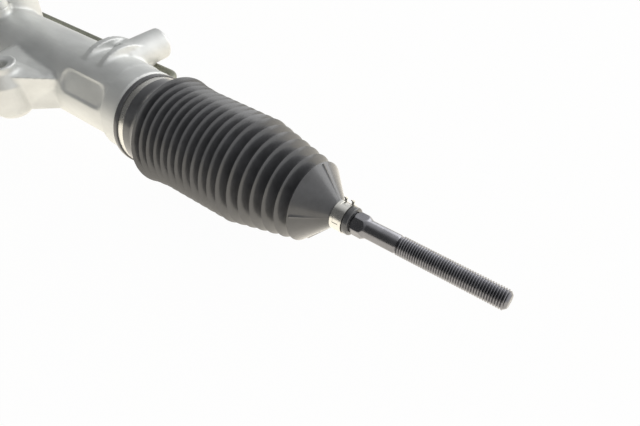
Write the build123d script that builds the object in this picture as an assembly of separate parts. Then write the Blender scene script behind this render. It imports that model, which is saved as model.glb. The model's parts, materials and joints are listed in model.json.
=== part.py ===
from build123d import *
import os
from math import acos, cos, pi, radians, sin, tan

# A hydraulic power steering rack. Inside the functions the rack slides along X through the origin,
# Z is up and -Y is the front. Each piece is moved at export so that the frame's origin lies at the
# centre of the two front mounting bolts, on the face that they clamp to.

# Mounting
front_bolt_inset = 119.0      # each front bolt, inboard of its casting's end face
front_bolt_y = 48.0           # front bolts ahead of the rack's axis
seat_drop = 12.0              # front mounting face below the rack's axis
front_post_radius = 12.5
front_post_top = 30.0
front_bolt_radius = 6.25
front_arm_top = 15.0
front_arm_bottom = -8.0
rear_boss_inset = 58.0        # each rear boss, inboard of its casting's end face
rear_boss_z = 25.0
rear_boss_radius = 12.0
rear_boss_reach = 53.0
rear_thread_radius = 5.1
rear_thread_depth = 22.0
rib_thickness = 5.0
rib_pitch = 20.0

# Housing
housing_half = 310.0          # middle of the rack to the end face of either casting
casting_radius = 30.0
casting_shift = 4.3           # the pinion-side casting's tube lies this far off the rack, up and back
collar_step = 1.5             # the collar stands out from the boot's seat
collar_length = 32.0
casting_neck_start = 30.0     # inboard end of the pinion-side casting
end_casting_length = 145.0
bore_clearance = 1.5
end_pocket_radius = 23.0
end_pocket_depth = 24.0
pad_inset = 57.5
pad_length = 49.0
pad_width = 18.5
pad_angle = 148.5
pad_depth = 1.8
pad_rim = 1.6

# Cylinder
cylinder_bore = 21.0
cylinder_wall = 3.0
cylinder_lap = 10.0           # length of the cylinder inside the pinion-side casting
cylinder_inset = 20.0         # outer end of the cylinder, inboard of the casting's end face
press_gap = 0.05              # between pieces that are pressed or screwed together
running_gap = 0.04            # between pieces that turn or slide in each other

# Rack bar
rack_radius = 13.0
rack_travel = 72.0            # each way from the middle
stop_gap = 0.5                # socket to casting at full travel
socket_thread_radius = 7.0
socket_thread_length = 22.0
washer_thickness = 2.0
piston_width = 16.0
piston_end_gap = 12.4         # piston to either seal at full travel
piston_ring_width = 6.0
snap_ring_width = 1.6
inner_seal_width = 17.0
outer_seal_width = 7.0
end_bushing_width = 14.0

# Rack and pinion mesh
module = 2.0
pinion_teeth = 8
pressure_angle = 20.0
profile_shift = 0.5
pinion_tip_radius = 10.35
pinion_root_radius = 6.75
rack_tip_past_pitch = 0.93
mesh_root_gap = 0.35
backlash = 0.12
face_width = 28.0
pinion_x = 100.0
rack_flat_depth = 3.0

# Pinion tower
tower_radius = 22.0
tower_top = 40.0
tower_bottom = -44.0
pinion_chamber_gap = 1.15
lower_journal_radius = 7.5
ball_bearing_radius = 17.5
ball_bearing_width = 11.0
ball_bearing_top = -17.0
upper_journal_radius = 10.0
needle_radius = 13.0
needle_width = 12.0
needle_bottom = 17.0
bottom_cap_thickness = 6.0
pinion_nut_radius = 9.5
pinion_nut_height = 6.0
pinion_head_radius = 12.0
pinion_head_lift = 2.0        # pinion's head above the tower's top face

# Valve
valve_body_radius = 25.0
valve_body_height = 68.0
flange_thickness = 10.0
flange_bolt_circle = 30.0
flange_bolt_count = 3
flange_bolt_radius = 4.0
bolt_head_radius = 6.5
flange_lobe_radius = 8.5
sleeve_radius = 19.0
sleeve_lift = 4.0             # valve sleeve above the tower's top face
sleeve_length = 44.0
sleeve_skirt_radius = 15.0
sleeve_ring_width = 2.0
input_shaft_radius = 10.5
input_shaft_lift = 4.0        # shoulder of the input shaft above the valve body
spline_radius = 8.5
spline_length = 28.0
torsion_bar_radius = 2.6
tang_width = 9.0
valve_twist = 4.0
input_bearing_radius = 14.0
input_bearing_height = 8.0
shaft_seal_radius = 16.0
shaft_seal_height = 7.0
dust_cap_height = 13.0
dust_cap_skirt = 6.0
line_port_radius = 6.2
return_port_radius = 7.2
port_depth = 13.0
port_boss_wall = 4.3
line_port_lift = 22.0         # lower line port above the tower's top face
feed_port_lift = 18.0         # lower feed port above the tower's top face
upper_port_lift = 44.0        # upper ports above the tower's top face
feed_port_reach = 34.0

# Yoke
yoke_radius = 16.0
yoke_length = 21.0
yoke_liner = 1.2
yoke_boss_radius = 23.0
plug_radius = 17.5
plug_length = 24.0
plug_grip = 17.8              # length of the plug inside the yoke's boss
plug_socket_flats = 17.0
lock_nut_height = 6.0
lock_nut_flats = 43.0
disc_spring_height = 3.0
yoke_o_ring_radius = 1.2

# Pipes
line_radius = 4.0
line_bend = 17.0
line_nut_flats = 16.0
line_nut_height = 10.0
inner_port_gap = 6.0          # inner cylinder port outboard of the inner seal
outer_port_gap = 14.0         # outer cylinder port inboard of the cylinder's end
line_rear_y = 30.0
cylinder_port_rise = 10.0     # port faces above the cylinder
breather_radius = 3.0
breather_gap = 10.0           # breather pipe behind the castings
breather_z = 9.0
breather_end_inset = 31.0
breather_bend = 8.0
clip_insets = (16.0, 11.0)    # pipe clips, in from the inboard ends of the castings
clip_thickness = 1.5
clip_width = 10.0
clip_boss_radius = 6.5
clip_boss_z = -7.0
clip_screw_radius = 3.0

# Tie rods
rod_reach = 171.0             # ball centre to the rod's free end
ball_radius = 12.5
ball_seat_thickness = 2.0
ball_from_socket_back = 25.0
socket_wall = 3.46            # socket outside the ball seat
socket_length = 44.0
socket_flat_depth = 2.0
mouth_opening = 3.1           # mouth of the socket, wider than the ball
rod_swing = 20.0
rod_neck_radius = 6.0
rod_shank_radius = 6.2
rod_hex_flats = 13.0
rod_hex_length = 10.0
rod_thread_radius = 6.0
rod_thread_length = 67.5
rod_thread_chamfer = 2.0
rod_waist_radius = 5.8
rod_waist_length = 20.6

# Boots
boot_lap = 12.4               # length of the casting that the boot covers
boot_lip_wall = 3.4
boot_lip_width = 4.0
band_width = 5.4
band_seat_wall = 1.6
band_thickness = 1.2
boot_collar_wall = 2.8
boot_collar_overhang = 7.0    # plain collar of the boot beyond the casting
crest_count = 18
first_crest_overhang = 14.7   # first crest beyond the casting
crest_spread = 0.155          # how much the crests' spacing grows towards the neck
first_crest_rise = 9.1
crest_rise = 6.6
taper_crests = 6
last_crest_radius = 26.3
convolution_depth = 6.0
boot_wall = 2.4               # measured radially through a flank
cone_length = 18.0            # last crest to the neck
neck_from_ball = 60.0
neck_radius = 8.3
neck_length = 9.0
neck_bead_radius = 8.9
neck_bead_length = 3.5
soft_gap = 0.3                # between rubber and the rod or clip that moves in it
neck_clip_thickness = 0.9
neck_clip_width = 8.0

# Values that follow from the sizes above
pitch_radius = module * pinion_teeth / 2
tooth_pitch = pi * module
rack_tip_height = rack_radius - rack_flat_depth
pinion_y = rack_tip_height + pitch_radius - rack_tip_past_pitch
pinion_base_radius = pitch_radius * cos(radians(pressure_angle))
rack_root_y = pinion_y - pinion_tip_radius - mesh_root_gap
half_tooth_count = int((rack_travel + pinion_tip_radius + 9) / tooth_pitch)
rack_bore = rack_radius + bore_clearance
front_bolt_x = housing_half - front_bolt_inset
rear_boss_x = housing_half - rear_boss_inset
pad_centre = housing_half - pad_inset
collar_start = housing_half - collar_length
collar_radius = casting_radius + collar_step
end_casting_start = -housing_half + end_casting_length
cylinder_outer = cylinder_bore + cylinder_wall
cylinder_start = casting_neck_start + cylinder_lap
cylinder_end = -housing_half + cylinder_inset
cylinder_port_top = cylinder_outer + cylinder_port_rise
chamber_start = cylinder_end + outer_seal_width
piston_centre = chamber_start + rack_travel + piston_width / 2 + snap_ring_width + piston_end_gap
inner_seal_x = 2 * piston_centre - chamber_start
inner_port_x = inner_seal_x - inner_port_gap
outer_port_x = cylinder_end + outer_port_gap
socket_back = housing_half + rack_travel + stop_gap
rack_half = socket_back - washer_thickness
ball_x = socket_back + ball_from_socket_back
ball_cavity = ball_radius + running_gap + ball_seat_thickness
socket_radius = ball_cavity + socket_wall
mouth_radius = ball_radius + mouth_opening
rod_end = ball_x + rod_reach
chamber_radius = pinion_tip_radius + pinion_chamber_gap
pinion_head_top = tower_top + pinion_head_lift
sleeve_bottom = tower_top + sleeve_lift
sleeve_top = sleeve_bottom + sleeve_length
input_bearing_bottom = sleeve_top + 3
valve_body_top = tower_top + valve_body_height
input_shaft_top = valve_body_top + input_shaft_lift
dust_cap_bottom = valve_body_top - dust_cap_skirt
line_port_low = tower_top + line_port_lift
feed_port_low = tower_top + feed_port_lift
upper_port_height = tower_top + upper_port_lift
valve_port_x = pinion_x - valve_body_radius - port_depth + 4
flange_turns = [135 + index * 90 for index in range(flange_bolt_count)]
adjuster_face = rack_radius + running_gap + yoke_liner + yoke_length
plug_inner_face = adjuster_face + disc_spring_height
yoke_boss_reach = plug_inner_face + plug_grip
breather_y = casting_radius + breather_gap + breather_radius
breather_end_x = housing_half - breather_end_inset
clip_x = (casting_neck_start + clip_insets[0], end_casting_start - clip_insets[1])
boot_start = housing_half - boot_lap
boot_lip_radius = casting_radius + boot_lip_wall
band_radius = casting_radius + band_seat_wall
boot_collar_radius = casting_radius + boot_collar_wall
boot_collar_end = housing_half + boot_collar_overhang
first_crest_x = housing_half + first_crest_overhang
neck_start = ball_x + neck_from_ball

FROM_BASE = (Align.CENTER, Align.CENTER, Align.MIN)
UPPER_SIDE = (Align.MIN, Align.CENTER, Align.MIN)
UNDER_SIDE = (Align.MIN, Align.CENTER, Align.MAX)
to_frame = Pos(0, front_bolt_y, seat_drop)
off_rack = Pos(0, casting_shift * sin(radians(43)), casting_shift * cos(radians(43)))


def bar(radius, start, end):
    """A round bar along the rack."""
    return Pos(start, 0, 0) * Rot(0, 90, 0) * Cylinder(radius, end - start, align=FROM_BASE)


def ring(outer, inner, start, end):
    """A plain ring around the rack's axis."""
    return bar(outer, start, end) - bar(inner, start - 1, end + 1)


def post(radius, bottom, top, x=0.0, y=0.0):
    """An upright round bar."""
    return Pos(x, y, bottom) * Cylinder(radius, top - bottom, align=FROM_BASE)


def rearward(radius, start, end, x=0.0, z=0.0):
    """A round bar along Y."""
    return Pos(x, start, z) * Rot(-90, 0, 0) * Cylinder(radius, end - start, align=FROM_BASE)


def at_pinion(shape):
    """Places a piece that was made around Z on the pinion's axis."""
    return Pos(pinion_x, pinion_y, 0) * shape


def turned(points):
    """Revolves a profile of (x, radius) points around the rack's axis."""
    return revolve(Polygon(*points, align=None), Axis.X)


def turned_upright(points):
    """Revolves a profile of (radius, z) points around Z."""
    return revolve(Plane.XZ * Polygon(*points, align=None), Axis.Z)


def mirrored(shape):
    """The same piece for the other end of the rack."""
    return mirror(shape, Plane.YZ)


def hexagon(flats, height):
    """A hexagonal prism along Z, standing on its base."""
    return extrude(RegularPolygon(flats / 2, 6, major_radius=False), height)


# Castings
def rib_outline():
    """The side view of an ear rib: it leaves the tube's crown, humps over it and meets the boss."""
    rise = casting_radius + 8
    top = rear_boss_z + rear_boss_radius
    with BuildSketch(Plane.YZ) as side:
        with BuildLine():
            crown = ThreePointArc((-9, casting_radius - 2), (11, rise), (32, top - 6))
            drop = Line(crown @ 1, (rear_boss_reach - 16, rear_boss_z))
            under = Line(drop @ 1, (24, rear_boss_z - rear_boss_radius))
            Line(under @ 1, crown @ 0)
        make_face()
    return side.sketch


def ear_rib():
    """One rounded rib of the rear ear."""
    plate = extrude(rib_outline(), rib_thickness / 2, both=True)
    crowns = [edge for edge in plate.edges() if edge.geom_type == GeomType.CIRCLE]
    return fillet(crowns, rib_thickness * 0.45)


def rear_ear():
    """The rear mounting boss of the right end, with the two ribs and the web that carry it."""
    boss_start = casting_radius - rear_boss_radius
    ear = rearward(rear_boss_radius, boss_start, rear_boss_reach, rear_boss_x, rear_boss_z)
    ear += rearward(rear_boss_radius - 1, boss_start, rear_boss_reach + 1, rear_boss_x, rear_boss_z)
    for side in (-1, 1):
        ear += Pos(rear_boss_x - 4 + side * rib_pitch / 2, 0, 0) * ear_rib()
    arm_height = 8.0
    arm = Box(rib_pitch, rear_boss_reach - 18, arm_height, align=(Align.CENTER, Align.MIN, Align.MIN))
    ear += Pos(rear_boss_x - 4, 6, rear_boss_z - rear_boss_radius) * arm
    return ear


def front_arm():
    """The front mounting post of the right end and the arm that joins it to the tube."""
    reach = front_post_radius * 0.94
    rounding = 7.0
    plan = Polygon(
        (front_bolt_x - reach, -front_bolt_y + 2),
        (front_bolt_x - reach - 8, -12),
        (front_bolt_x + 46, -12),
        (front_bolt_x + 5, -front_bolt_y - 1),
        align=None,
    )
    height = front_arm_top - front_arm_bottom
    arm = extrude(Plane.XY.offset(front_arm_bottom) * plan, height, dir=(0, 0, 1))
    top = arm.edges().filter_by(Plane.XY).group_by(Axis.Z)[-1]
    arm = fillet(top.sort_by(Axis.X)[-1], rounding)
    hollow = post(12, front_arm_bottom - 1, front_arm_top - rounding, front_bolt_x + 29, -front_bolt_y + 8)
    arm -= fillet(hollow.edges().group_by(Axis.Z)[-1], 3)
    flare = turned_upright((
        (0, front_arm_bottom),
        (front_post_radius + 3, front_arm_bottom),
        (front_post_radius + 4, front_arm_top),
        (front_post_radius, front_post_top - 5),
        (0, front_post_top - 5),
    ))
    body = post(front_post_radius, -seat_drop, front_post_top)
    body = fillet(body.edges().group_by(Axis.Z)[-1], 1.0)
    body = fillet(body.edges().group_by(Axis.Z)[0], 3.0)
    return arm + Pos(front_bolt_x, -front_bolt_y, 0) * (body + flare)


def mount_holes():
    """What is drilled into the ears of the right end."""
    spot_depth = 1.2
    holes = post(front_bolt_radius, -seat_drop - 1, front_post_top + 1, front_bolt_x, -front_bolt_y)
    holes += post(
        front_post_radius - 2.2, front_post_top - spot_depth, front_post_top + 1,
        front_bolt_x, -front_bolt_y,
    )
    holes += rearward(
        rear_thread_radius, rear_boss_reach + 1 - rear_thread_depth, rear_boss_reach + 2,
        rear_boss_x, rear_boss_z,
    )
    return holes


def breather_passage():
    """The drilled way from the breather pipe's socket to the inside of the boot."""
    passage_radius = 1.8
    radial_end = casting_radius - 6
    passage = rearward(breather_radius + press_gap, radial_end, breather_y, breather_end_x, breather_z)
    along = bar(passage_radius, breather_end_x, housing_half + 1)
    return passage + Pos(0, radial_end + passage_radius, breather_z) * along


def collar_end():
    """The turned seat for the boot at the right end, with the wider collar behind it."""
    seat_radius = casting_radius
    collar_stop = boot_start - 1.5
    return turned((
        (collar_start, 0),
        (collar_start, casting_radius),
        (collar_start + 2, collar_radius),
        (collar_stop - 1.5, collar_radius),
        (collar_stop, seat_radius),
        (housing_half - 1.5, seat_radius),
        (housing_half, seat_radius - 1.5),
        (housing_half, 0),
    ))


def casting_pad():
    """The oval facing on the front of the right casting, as the rim to add and the floor to cut."""
    corner = pad_width * 0.42
    rim_outline = RectangleRounded(pad_length + 2 * pad_rim, pad_width + 2 * pad_rim, corner + pad_rim)
    floor_outline = RectangleRounded(pad_length, pad_width, corner)
    lean = Pos(pad_centre, 0, 0) * Rot(pad_angle - 90, 0, 0)
    rim = lean * Pos(0, 0, casting_radius - 10) * extrude(rim_outline, 20)
    rim &= bar(casting_radius + 0.6, pad_centre - pad_length, pad_centre + pad_length)
    floor = lean * Pos(0, 0, casting_radius - pad_depth) * extrude(floor_outline, 10)
    return off_rack * rim, off_rack * floor


def tower():
    """The upright pinion housing with its bolt lobes."""
    body = post(tower_radius, tower_bottom, tower_top)
    for turn in flange_turns:
        lobe = post(flange_lobe_radius, tower_top - 14, tower_top, flange_bolt_circle)
        body += Rot(0, 0, turn) * lobe
        web = Box(flange_bolt_circle, 2 * flange_lobe_radius - 3, 14, align=UNDER_SIDE)
        body += Rot(0, 0, turn) * Pos(0, 0, tower_top) * web
    return at_pinion(body)


def tower_bores():
    """Everything that the pinion, its bearings and the flange bolts need cut out of the tower."""
    bores = post(ball_bearing_radius, tower_bottom - 1, ball_bearing_top)
    bores += post(chamber_radius, ball_bearing_top - 1, needle_bottom)
    bores += post(needle_radius, needle_bottom - 1, needle_bottom + needle_width)
    bores += post(sleeve_skirt_radius + 1, needle_bottom + needle_width, tower_top + 1)
    bores += post(sleeve_radius + running_gap, tower_top - 1, tower_top + 1)
    for turn in flange_turns:
        bores += Rot(0, 0, turn) * post(flange_bolt_radius, tower_top - 13, tower_top + 1, flange_bolt_circle)
    return at_pinion(bores)


def clip_boss(x):
    """The screw boss of one pipe clip, on the back of a casting."""
    face = breather_y - breather_radius - press_gap - clip_thickness
    return rearward(clip_boss_radius, casting_radius - 5, face, x, clip_boss_z)


def clip_screw_hole(x):
    """The blind hole in a clip boss."""
    return rearward(clip_screw_radius, casting_radius - 3, breather_y, x, clip_boss_z)


def rack_housing():
    """The pinion-side aluminium casting, whose tube lies a little off the rack."""
    body = off_rack * bar(casting_radius + 0.5, casting_neck_start, collar_start + 1)
    body += bar(cylinder_outer + 4, casting_neck_start, cylinder_start + 3)
    body += collar_end()
    body += tower()
    body += rearward(yoke_boss_radius, -yoke_boss_reach, 0, pinion_x)
    body += front_arm() + rear_ear() + clip_boss(clip_x[0])
    rim, floor = casting_pad()
    body += rim
    body -= floor
    body -= bar(rack_bore, casting_neck_start - 1, housing_half + 1)
    body -= bar(cylinder_outer + press_gap, casting_neck_start - 1, cylinder_start)
    body -= bar(end_pocket_radius, housing_half - end_pocket_depth, housing_half + 1)
    body -= tower_bores()
    body -= rearward(yoke_radius + press_gap, -plug_inner_face, 0, pinion_x)
    body -= rearward(plug_radius + press_gap, -yoke_boss_reach - 1, -plug_inner_face, pinion_x)
    body -= mount_holes() + breather_passage() + clip_screw_hole(clip_x[0])
    return body


def end_housing():
    """The cylinder-side aluminium casting, with the same mounting ears at the other end."""
    body = mirrored(bar(casting_radius, -end_casting_start, collar_start) + collar_end())
    body += mirrored(front_arm() + rear_ear()) + clip_boss(clip_x[1])
    body += post(line_port_radius + port_boss_wall, rack_radius, cylinder_port_top, outer_port_x)
    body -= bar(rack_bore, -housing_half - 1, 0)
    body -= bar(cylinder_outer + press_gap, cylinder_end, 0)
    body -= bar(end_pocket_radius, -housing_half - 1, cylinder_end)
    body -= post(line_port_radius, cylinder_port_top - port_depth, cylinder_port_top + 1, outer_port_x)
    body -= post(breather_radius, rack_radius, cylinder_port_top, outer_port_x)
    body -= mirrored(mount_holes() + breather_passage()) + clip_screw_hole(clip_x[1])
    return body


# Cylinder
def cylinder_tube():
    """The steel cylinder between the castings, with its brazed inner port."""
    port_top = cylinder_port_top
    tube = bar(cylinder_outer, cylinder_end, cylinder_start)
    tube += post(line_port_radius + port_boss_wall, rack_radius, port_top, inner_port_x)
    tube -= bar(cylinder_bore, cylinder_end - 1, cylinder_start + 1)
    tube -= post(line_port_radius, port_top - port_depth, port_top + 1, inner_port_x)
    for port_x in (inner_port_x, outer_port_x):
        tube -= post(breather_radius, rack_radius, port_top, port_x)
    return tube


def seal(start, width, outer):
    """A lip seal on the rack: a carrier with a groove in its face."""
    groove = 2.0
    body = ring(outer, rack_radius + running_gap, start, start + width)
    middle = (rack_radius + outer) / 2
    return body - ring(middle + 1.5, middle - 1.5, start - 1, start + groove)


def inner_seal():
    """The bulkhead that closes the inboard end of the pressure chamber."""
    return seal(inner_seal_x, inner_seal_width, cylinder_bore)


def outer_seal():
    """The high-pressure seal at the outer end of the cylinder."""
    return seal(cylinder_end, outer_seal_width, cylinder_bore)


def end_bushing():
    """The plain bearing that carries the rack at the cylinder end."""
    start = cylinder_end - end_bushing_width
    return ring(end_pocket_radius, rack_radius + running_gap, start, cylinder_end)


def retaining_ring():
    """The split ring that holds the end bushing in its pocket."""
    start = cylinder_end - end_bushing_width - snap_ring_width
    body = ring(end_pocket_radius, end_pocket_radius - 3, start, start + snap_ring_width)
    return body - Pos(start, 0, -end_pocket_radius) * Box(4, 7, 8)


# Rack
def rack_tooth_space(index):
    """One tooth space of the rack, seen from above, with straight flanks at the pressure angle."""
    pitch_line = pinion_y - pitch_radius
    pinion_thickness = module * (pi / 2 + 2 * profile_shift * tan(radians(pressure_angle)))
    slope = tan(radians(pressure_angle))
    overshoot = 4.0
    half_space = (pinion_thickness + backlash) / 2
    half_root = half_space - (pitch_line - rack_root_y) * slope
    half_mouth = half_space + (rack_tip_height + overshoot - pitch_line) * slope
    centre = pinion_x + index * tooth_pitch
    return Polygon(
        (centre - half_root, rack_root_y),
        (centre + half_root, rack_root_y),
        (centre + half_mouth, rack_tip_height + overshoot),
        (centre - half_mouth, rack_tip_height + overshoot),
        align=None,
    )


def rack_bar():
    """The rack: a round bar with a toothed flat, two piston ring grooves and threaded ends."""
    groove_depth = 1.0
    body = bar(rack_radius, -rack_half, rack_half)
    flat_length = (2 * half_tooth_count + 1) * tooth_pitch
    flat = Box(flat_length, 10, 2 * rack_radius + 2, align=(Align.CENTER, Align.MIN, Align.CENTER))
    body -= Pos(pinion_x, rack_tip_height, 0) * flat
    spaces = Sketch() + [rack_tooth_space(index) for index in range(-half_tooth_count, half_tooth_count + 1)]
    body -= extrude(spaces, rack_radius + 1, both=True)
    for side in (-1, 1):
        face = piston_centre + side * (piston_width + snap_ring_width) / 2
        start = face - snap_ring_width / 2
        body -= ring(rack_radius + 1, rack_radius - groove_depth, start, start + snap_ring_width)
        end = side * rack_half
        inner = end - side * (socket_thread_length + 2)
        body -= bar(socket_thread_radius, min(end, inner), max(end, inner))
    return body


def piston():
    """The piston on the rack, with the groove for its sealing ring."""
    start = piston_centre - piston_width / 2
    body = ring(cylinder_bore - 0.4, rack_radius, start, start + piston_width)
    ring_start = piston_centre - piston_ring_width / 2
    groove = ring(cylinder_bore, cylinder_bore - 2.5, ring_start, ring_start + piston_ring_width)
    return body - groove


def piston_ring():
    """The sealing ring that runs in the cylinder."""
    ring_start = piston_centre - piston_ring_width / 2
    return ring(cylinder_bore - running_gap, cylinder_bore - 2.5, ring_start, ring_start + piston_ring_width)


def piston_snap_rings():
    """The two split rings that hold the piston on the rack."""
    rings = []
    for side in (-1, 1):
        start = piston_centre + side * (piston_width + snap_ring_width) / 2 - snap_ring_width / 2
        split = Pos(start, 0, -rack_radius) * Box(4, 5, 6)
        rings.append(ring(rack_radius + 1.6, rack_radius - 1.0, start, start + snap_ring_width) - split)
    return rings


# Tie rod ends, made for the right end and mirrored
def tie_rod_socket():
    """The inner ball housing that screws into the rack's end."""
    lip = 7.0
    throat = (ball_radius ** 2 - lip ** 2) ** 0.5
    front = socket_back + socket_length
    body = turned((
        (socket_back - socket_thread_length, 0),
        (socket_back - socket_thread_length, socket_thread_radius),
        (socket_back, socket_thread_radius),
        (socket_back, socket_radius - 1.5),
        (socket_back + 1.5, socket_radius),
        (front - 6, socket_radius),
        (front, socket_radius - 1),
        (front, 0),
    ))
    body -= Pos(ball_x, 0, 0) * Sphere(ball_cavity)
    mouth = turned(((ball_x + lip, 0), (ball_x + lip, throat), (front + 1, mouth_radius), (front + 1, 0)))
    body -= mouth
    flat = Box(12, 2 * socket_radius, 6, align=UPPER_SIDE)
    for turn in (0, 180):
        body -= Rot(turn, 0, 0) * Pos(socket_back - 1, 0, socket_radius - socket_flat_depth) * flat
    return body


def ball_seat():
    """The plastic cup that the ball turns in."""
    lip = 6.8
    cup = Pos(ball_x, 0, 0) * (Sphere(ball_cavity) - Sphere(ball_radius + running_gap))
    return cup - bar(ball_cavity + 1, ball_x + lip, ball_x + ball_cavity + 2)


def lock_washer():
    """The tab washer between the rack's end and the socket."""
    washer = ring(socket_radius - 2.5, socket_thread_radius, rack_half, socket_back)
    tab = Box(washer_thickness + 7, 8, 1.6, align=UPPER_SIDE)
    for turn in (0, 180):
        washer += Rot(turn, 0, 0) * Pos(rack_half, 0, socket_radius - socket_flat_depth) * tab
        bridge = Box(washer_thickness, 8, 3, align=UPPER_SIDE)
        washer += Rot(turn, 0, 0) * Pos(rack_half, 0, socket_radius - 4.5) * bridge
    return washer


def tie_rod():
    """The forged rod: ball, shank through the boot, spanner hexagon, waist and threaded end."""
    thread_start = rod_end - rod_thread_length
    waist_start = thread_start - rod_waist_length
    hex_start = waist_start - rod_hex_length
    ball_cut = (ball_radius ** 2 - rod_neck_radius ** 2) ** 0.5
    body = turned((
        (ball_x + ball_cut - 2, 0),
        (ball_x + ball_cut - 2, rod_neck_radius),
        (ball_x + 22, rod_neck_radius + 0.8),
        (ball_x + 36, rod_shank_radius),
        (hex_start + 1, rod_shank_radius),
        (hex_start + 1, rod_waist_radius),
        (thread_start - 1, rod_waist_radius),
        (thread_start, rod_thread_radius),
        (rod_end - rod_thread_chamfer, rod_thread_radius),
        (rod_end, rod_thread_radius - rod_thread_chamfer),
        (rod_end, 0),
    ))
    body += Pos(ball_x, 0, 0) * Sphere(ball_radius)
    spanner = Pos(hex_start, 0, 0) * Rot(0, 90, 0) * hexagon(rod_hex_flats, rod_hex_length)
    corner = rod_hex_flats / 2 / cos(pi / 6) + 0.1
    shoulders = turned((
        (hex_start, 0),
        (hex_start, rod_hex_flats / 2),
        (hex_start + 1.6, corner),
        (waist_start - 3.4, corner),
        (waist_start, rod_waist_radius),
        (waist_start, 0),
    ))
    return body + (spanner & shoulders)


def neck_clip():
    """The spring clip around the boot's neck, which travels with the rod."""
    inner = neck_radius + soft_gap
    start = neck_start + (neck_length - neck_clip_width) / 2
    end = start + neck_clip_width
    band = ring(inner + neck_clip_thickness, inner, start, end)
    tab = Box(neck_clip_width - 2, 5, 4, align=UPPER_SIDE)
    return band + Rot(150, 0, 0) * Pos(start + 1, 0, inner + 0.2) * tab


# Boots
def crest(index):
    """The place and radius of one crest: slowly wider spacing, and a taper over the last few."""
    share = index / (crest_count - 1)
    span = neck_start - cone_length - first_crest_x
    x = first_crest_x + span * (share + crest_spread * share * (share - 1))
    taper_start = crest_count - 1 - taper_crests
    full = casting_radius + crest_rise
    taper = max(0, index - taper_start) * (full - last_crest_radius) / taper_crests
    swell = (first_crest_rise - crest_rise) / 2 ** index if index < 3 else 0
    return x, full + swell - taper


def bellows_profile(inset):
    """Crests and roots of the bellows as (x, radius) points, moved inwards by the inset."""
    crests = [crest(index) for index in range(crest_count)]
    points = []
    for here, following in zip(crests, crests[1:]):
        points.append((here[0], here[1] - inset))
        root = min(here[1], following[1]) - convolution_depth
        points.append(((here[0] + following[0]) / 2, root - inset))
    points.append((crests[-1][0], crests[-1][1] - inset))
    return points


def boot():
    """The rubber bellows, from the lip on the casting to the bead on the tie rod."""
    groove_start = boot_start + boot_lip_width
    groove_end = groove_start + band_width
    neck_end = neck_start + neck_length
    bead_end = neck_end + neck_bead_length
    seat = casting_radius
    rod_hole = rod_shank_radius + soft_gap
    outer = [
        (boot_start, seat),
        (boot_start, boot_lip_radius),
        (groove_start, boot_lip_radius),
        (groove_start, band_radius),
        (groove_end, band_radius),
        (groove_end, boot_collar_radius),
        (boot_collar_end, boot_collar_radius + 0.6),
    ]
    outer += bellows_profile(0)
    outer += [
        (neck_start, neck_radius),
        (neck_end, neck_radius),
        (neck_end, neck_bead_radius),
        (bead_end, neck_bead_radius),
        (bead_end, rod_hole),
    ]
    inner = [(boot_collar_end, seat)] + bellows_profile(boot_wall) + [(neck_start - 1, rod_hole)]
    return turned(outer + list(reversed(inner)))


def boot_band():
    """The crimped steel band over the boot's groove."""
    start = boot_start + boot_lip_width + 0.2
    end = start + band_width - 0.4
    band = ring(band_radius + band_thickness, band_radius, start, end)
    ear = Pos(start, 0, band_radius) * Box(end - start, 9, 4, align=UPPER_SIDE)
    slot = Pos(start - 1, 0, band_radius + band_thickness) * Box(
        end - start + 2, 6.4, 1.8, align=UPPER_SIDE
    )
    return band + Rot(-100, 0, 0) * (ear - slot)


# Pinion
def involute_point(radius):
    """A point of the flank of a tooth that is centred on +X."""
    pressure = radians(pressure_angle)
    local = acos(min(1.0, pinion_base_radius / radius))
    thickness = module * (pi / 2 + 2 * profile_shift * tan(pressure))
    half_angle = thickness / (2 * pitch_radius) + tan(pressure) - pressure - tan(local) + local
    return radius * cos(half_angle), radius * sin(half_angle)


def pinion_tooth():
    """One tooth in plan: straight below the base circle, involute above it."""
    steps = 4
    span = pinion_tip_radius - pinion_base_radius
    flank = [involute_point(pinion_base_radius + span * step / steps) for step in range(steps + 1)]
    below = flank[0][0] * 0.6, flank[0][1] * 0.6
    mirror_flank = [(x, -y) for x, y in flank]
    with BuildSketch() as plan:
        with BuildLine():
            Line(below, flank[0])
            Spline(*flank)
            ThreePointArc(flank[-1], (pinion_tip_radius, 0), mirror_flank[-1])
            Spline(*mirror_flank)
            Line(mirror_flank[0], (below[0], -below[1]))
            Line((below[0], -below[1]), below)
        make_face()
    return plan.sketch


def pinion():
    """The pinion: lower journal and thread, eight teeth, upper journal and the slotted head."""
    half = face_width / 2
    thread_radius = 6.0
    nut_top = ball_bearing_top - ball_bearing_width
    thread_end = nut_top - pinion_nut_height - 1
    body = post(pinion_root_radius, -half, half)
    teeth = Sketch() + [Rot(0, 0, 270 + turn * 360 / pinion_teeth) * pinion_tooth() for turn in range(pinion_teeth)]
    body += extrude(Plane.XY.offset(-half) * teeth, face_width)
    body += turned_upright((
        (0, thread_end),
        (thread_radius, thread_end),
        (thread_radius, nut_top),
        (lower_journal_radius - running_gap, nut_top),
        (lower_journal_radius - running_gap, ball_bearing_top),
        (lower_journal_radius + 1.5, ball_bearing_top),
        (lower_journal_radius + 1.5, -half),
        (0, -half),
    ))
    body += turned_upright((
        (0, half),
        (upper_journal_radius - running_gap, half),
        (upper_journal_radius - running_gap, needle_bottom + needle_width + 1),
        (pinion_head_radius, needle_bottom + needle_width + 2),
        (pinion_head_radius, pinion_head_top),
        (0, pinion_head_top),
    ))
    slot_depth = 7.0
    play = pinion_head_radius * tan(radians(valve_twist)) + 0.2
    slot = Box(2 * pinion_head_radius + 2, tang_width + 2 * play, slot_depth + 1, align=FROM_BASE)
    body -= Pos(0, 0, pinion_head_top - slot_depth) * slot
    body -= post(torsion_bar_radius, 0, pinion_head_top)
    return at_pinion(body)


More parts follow.
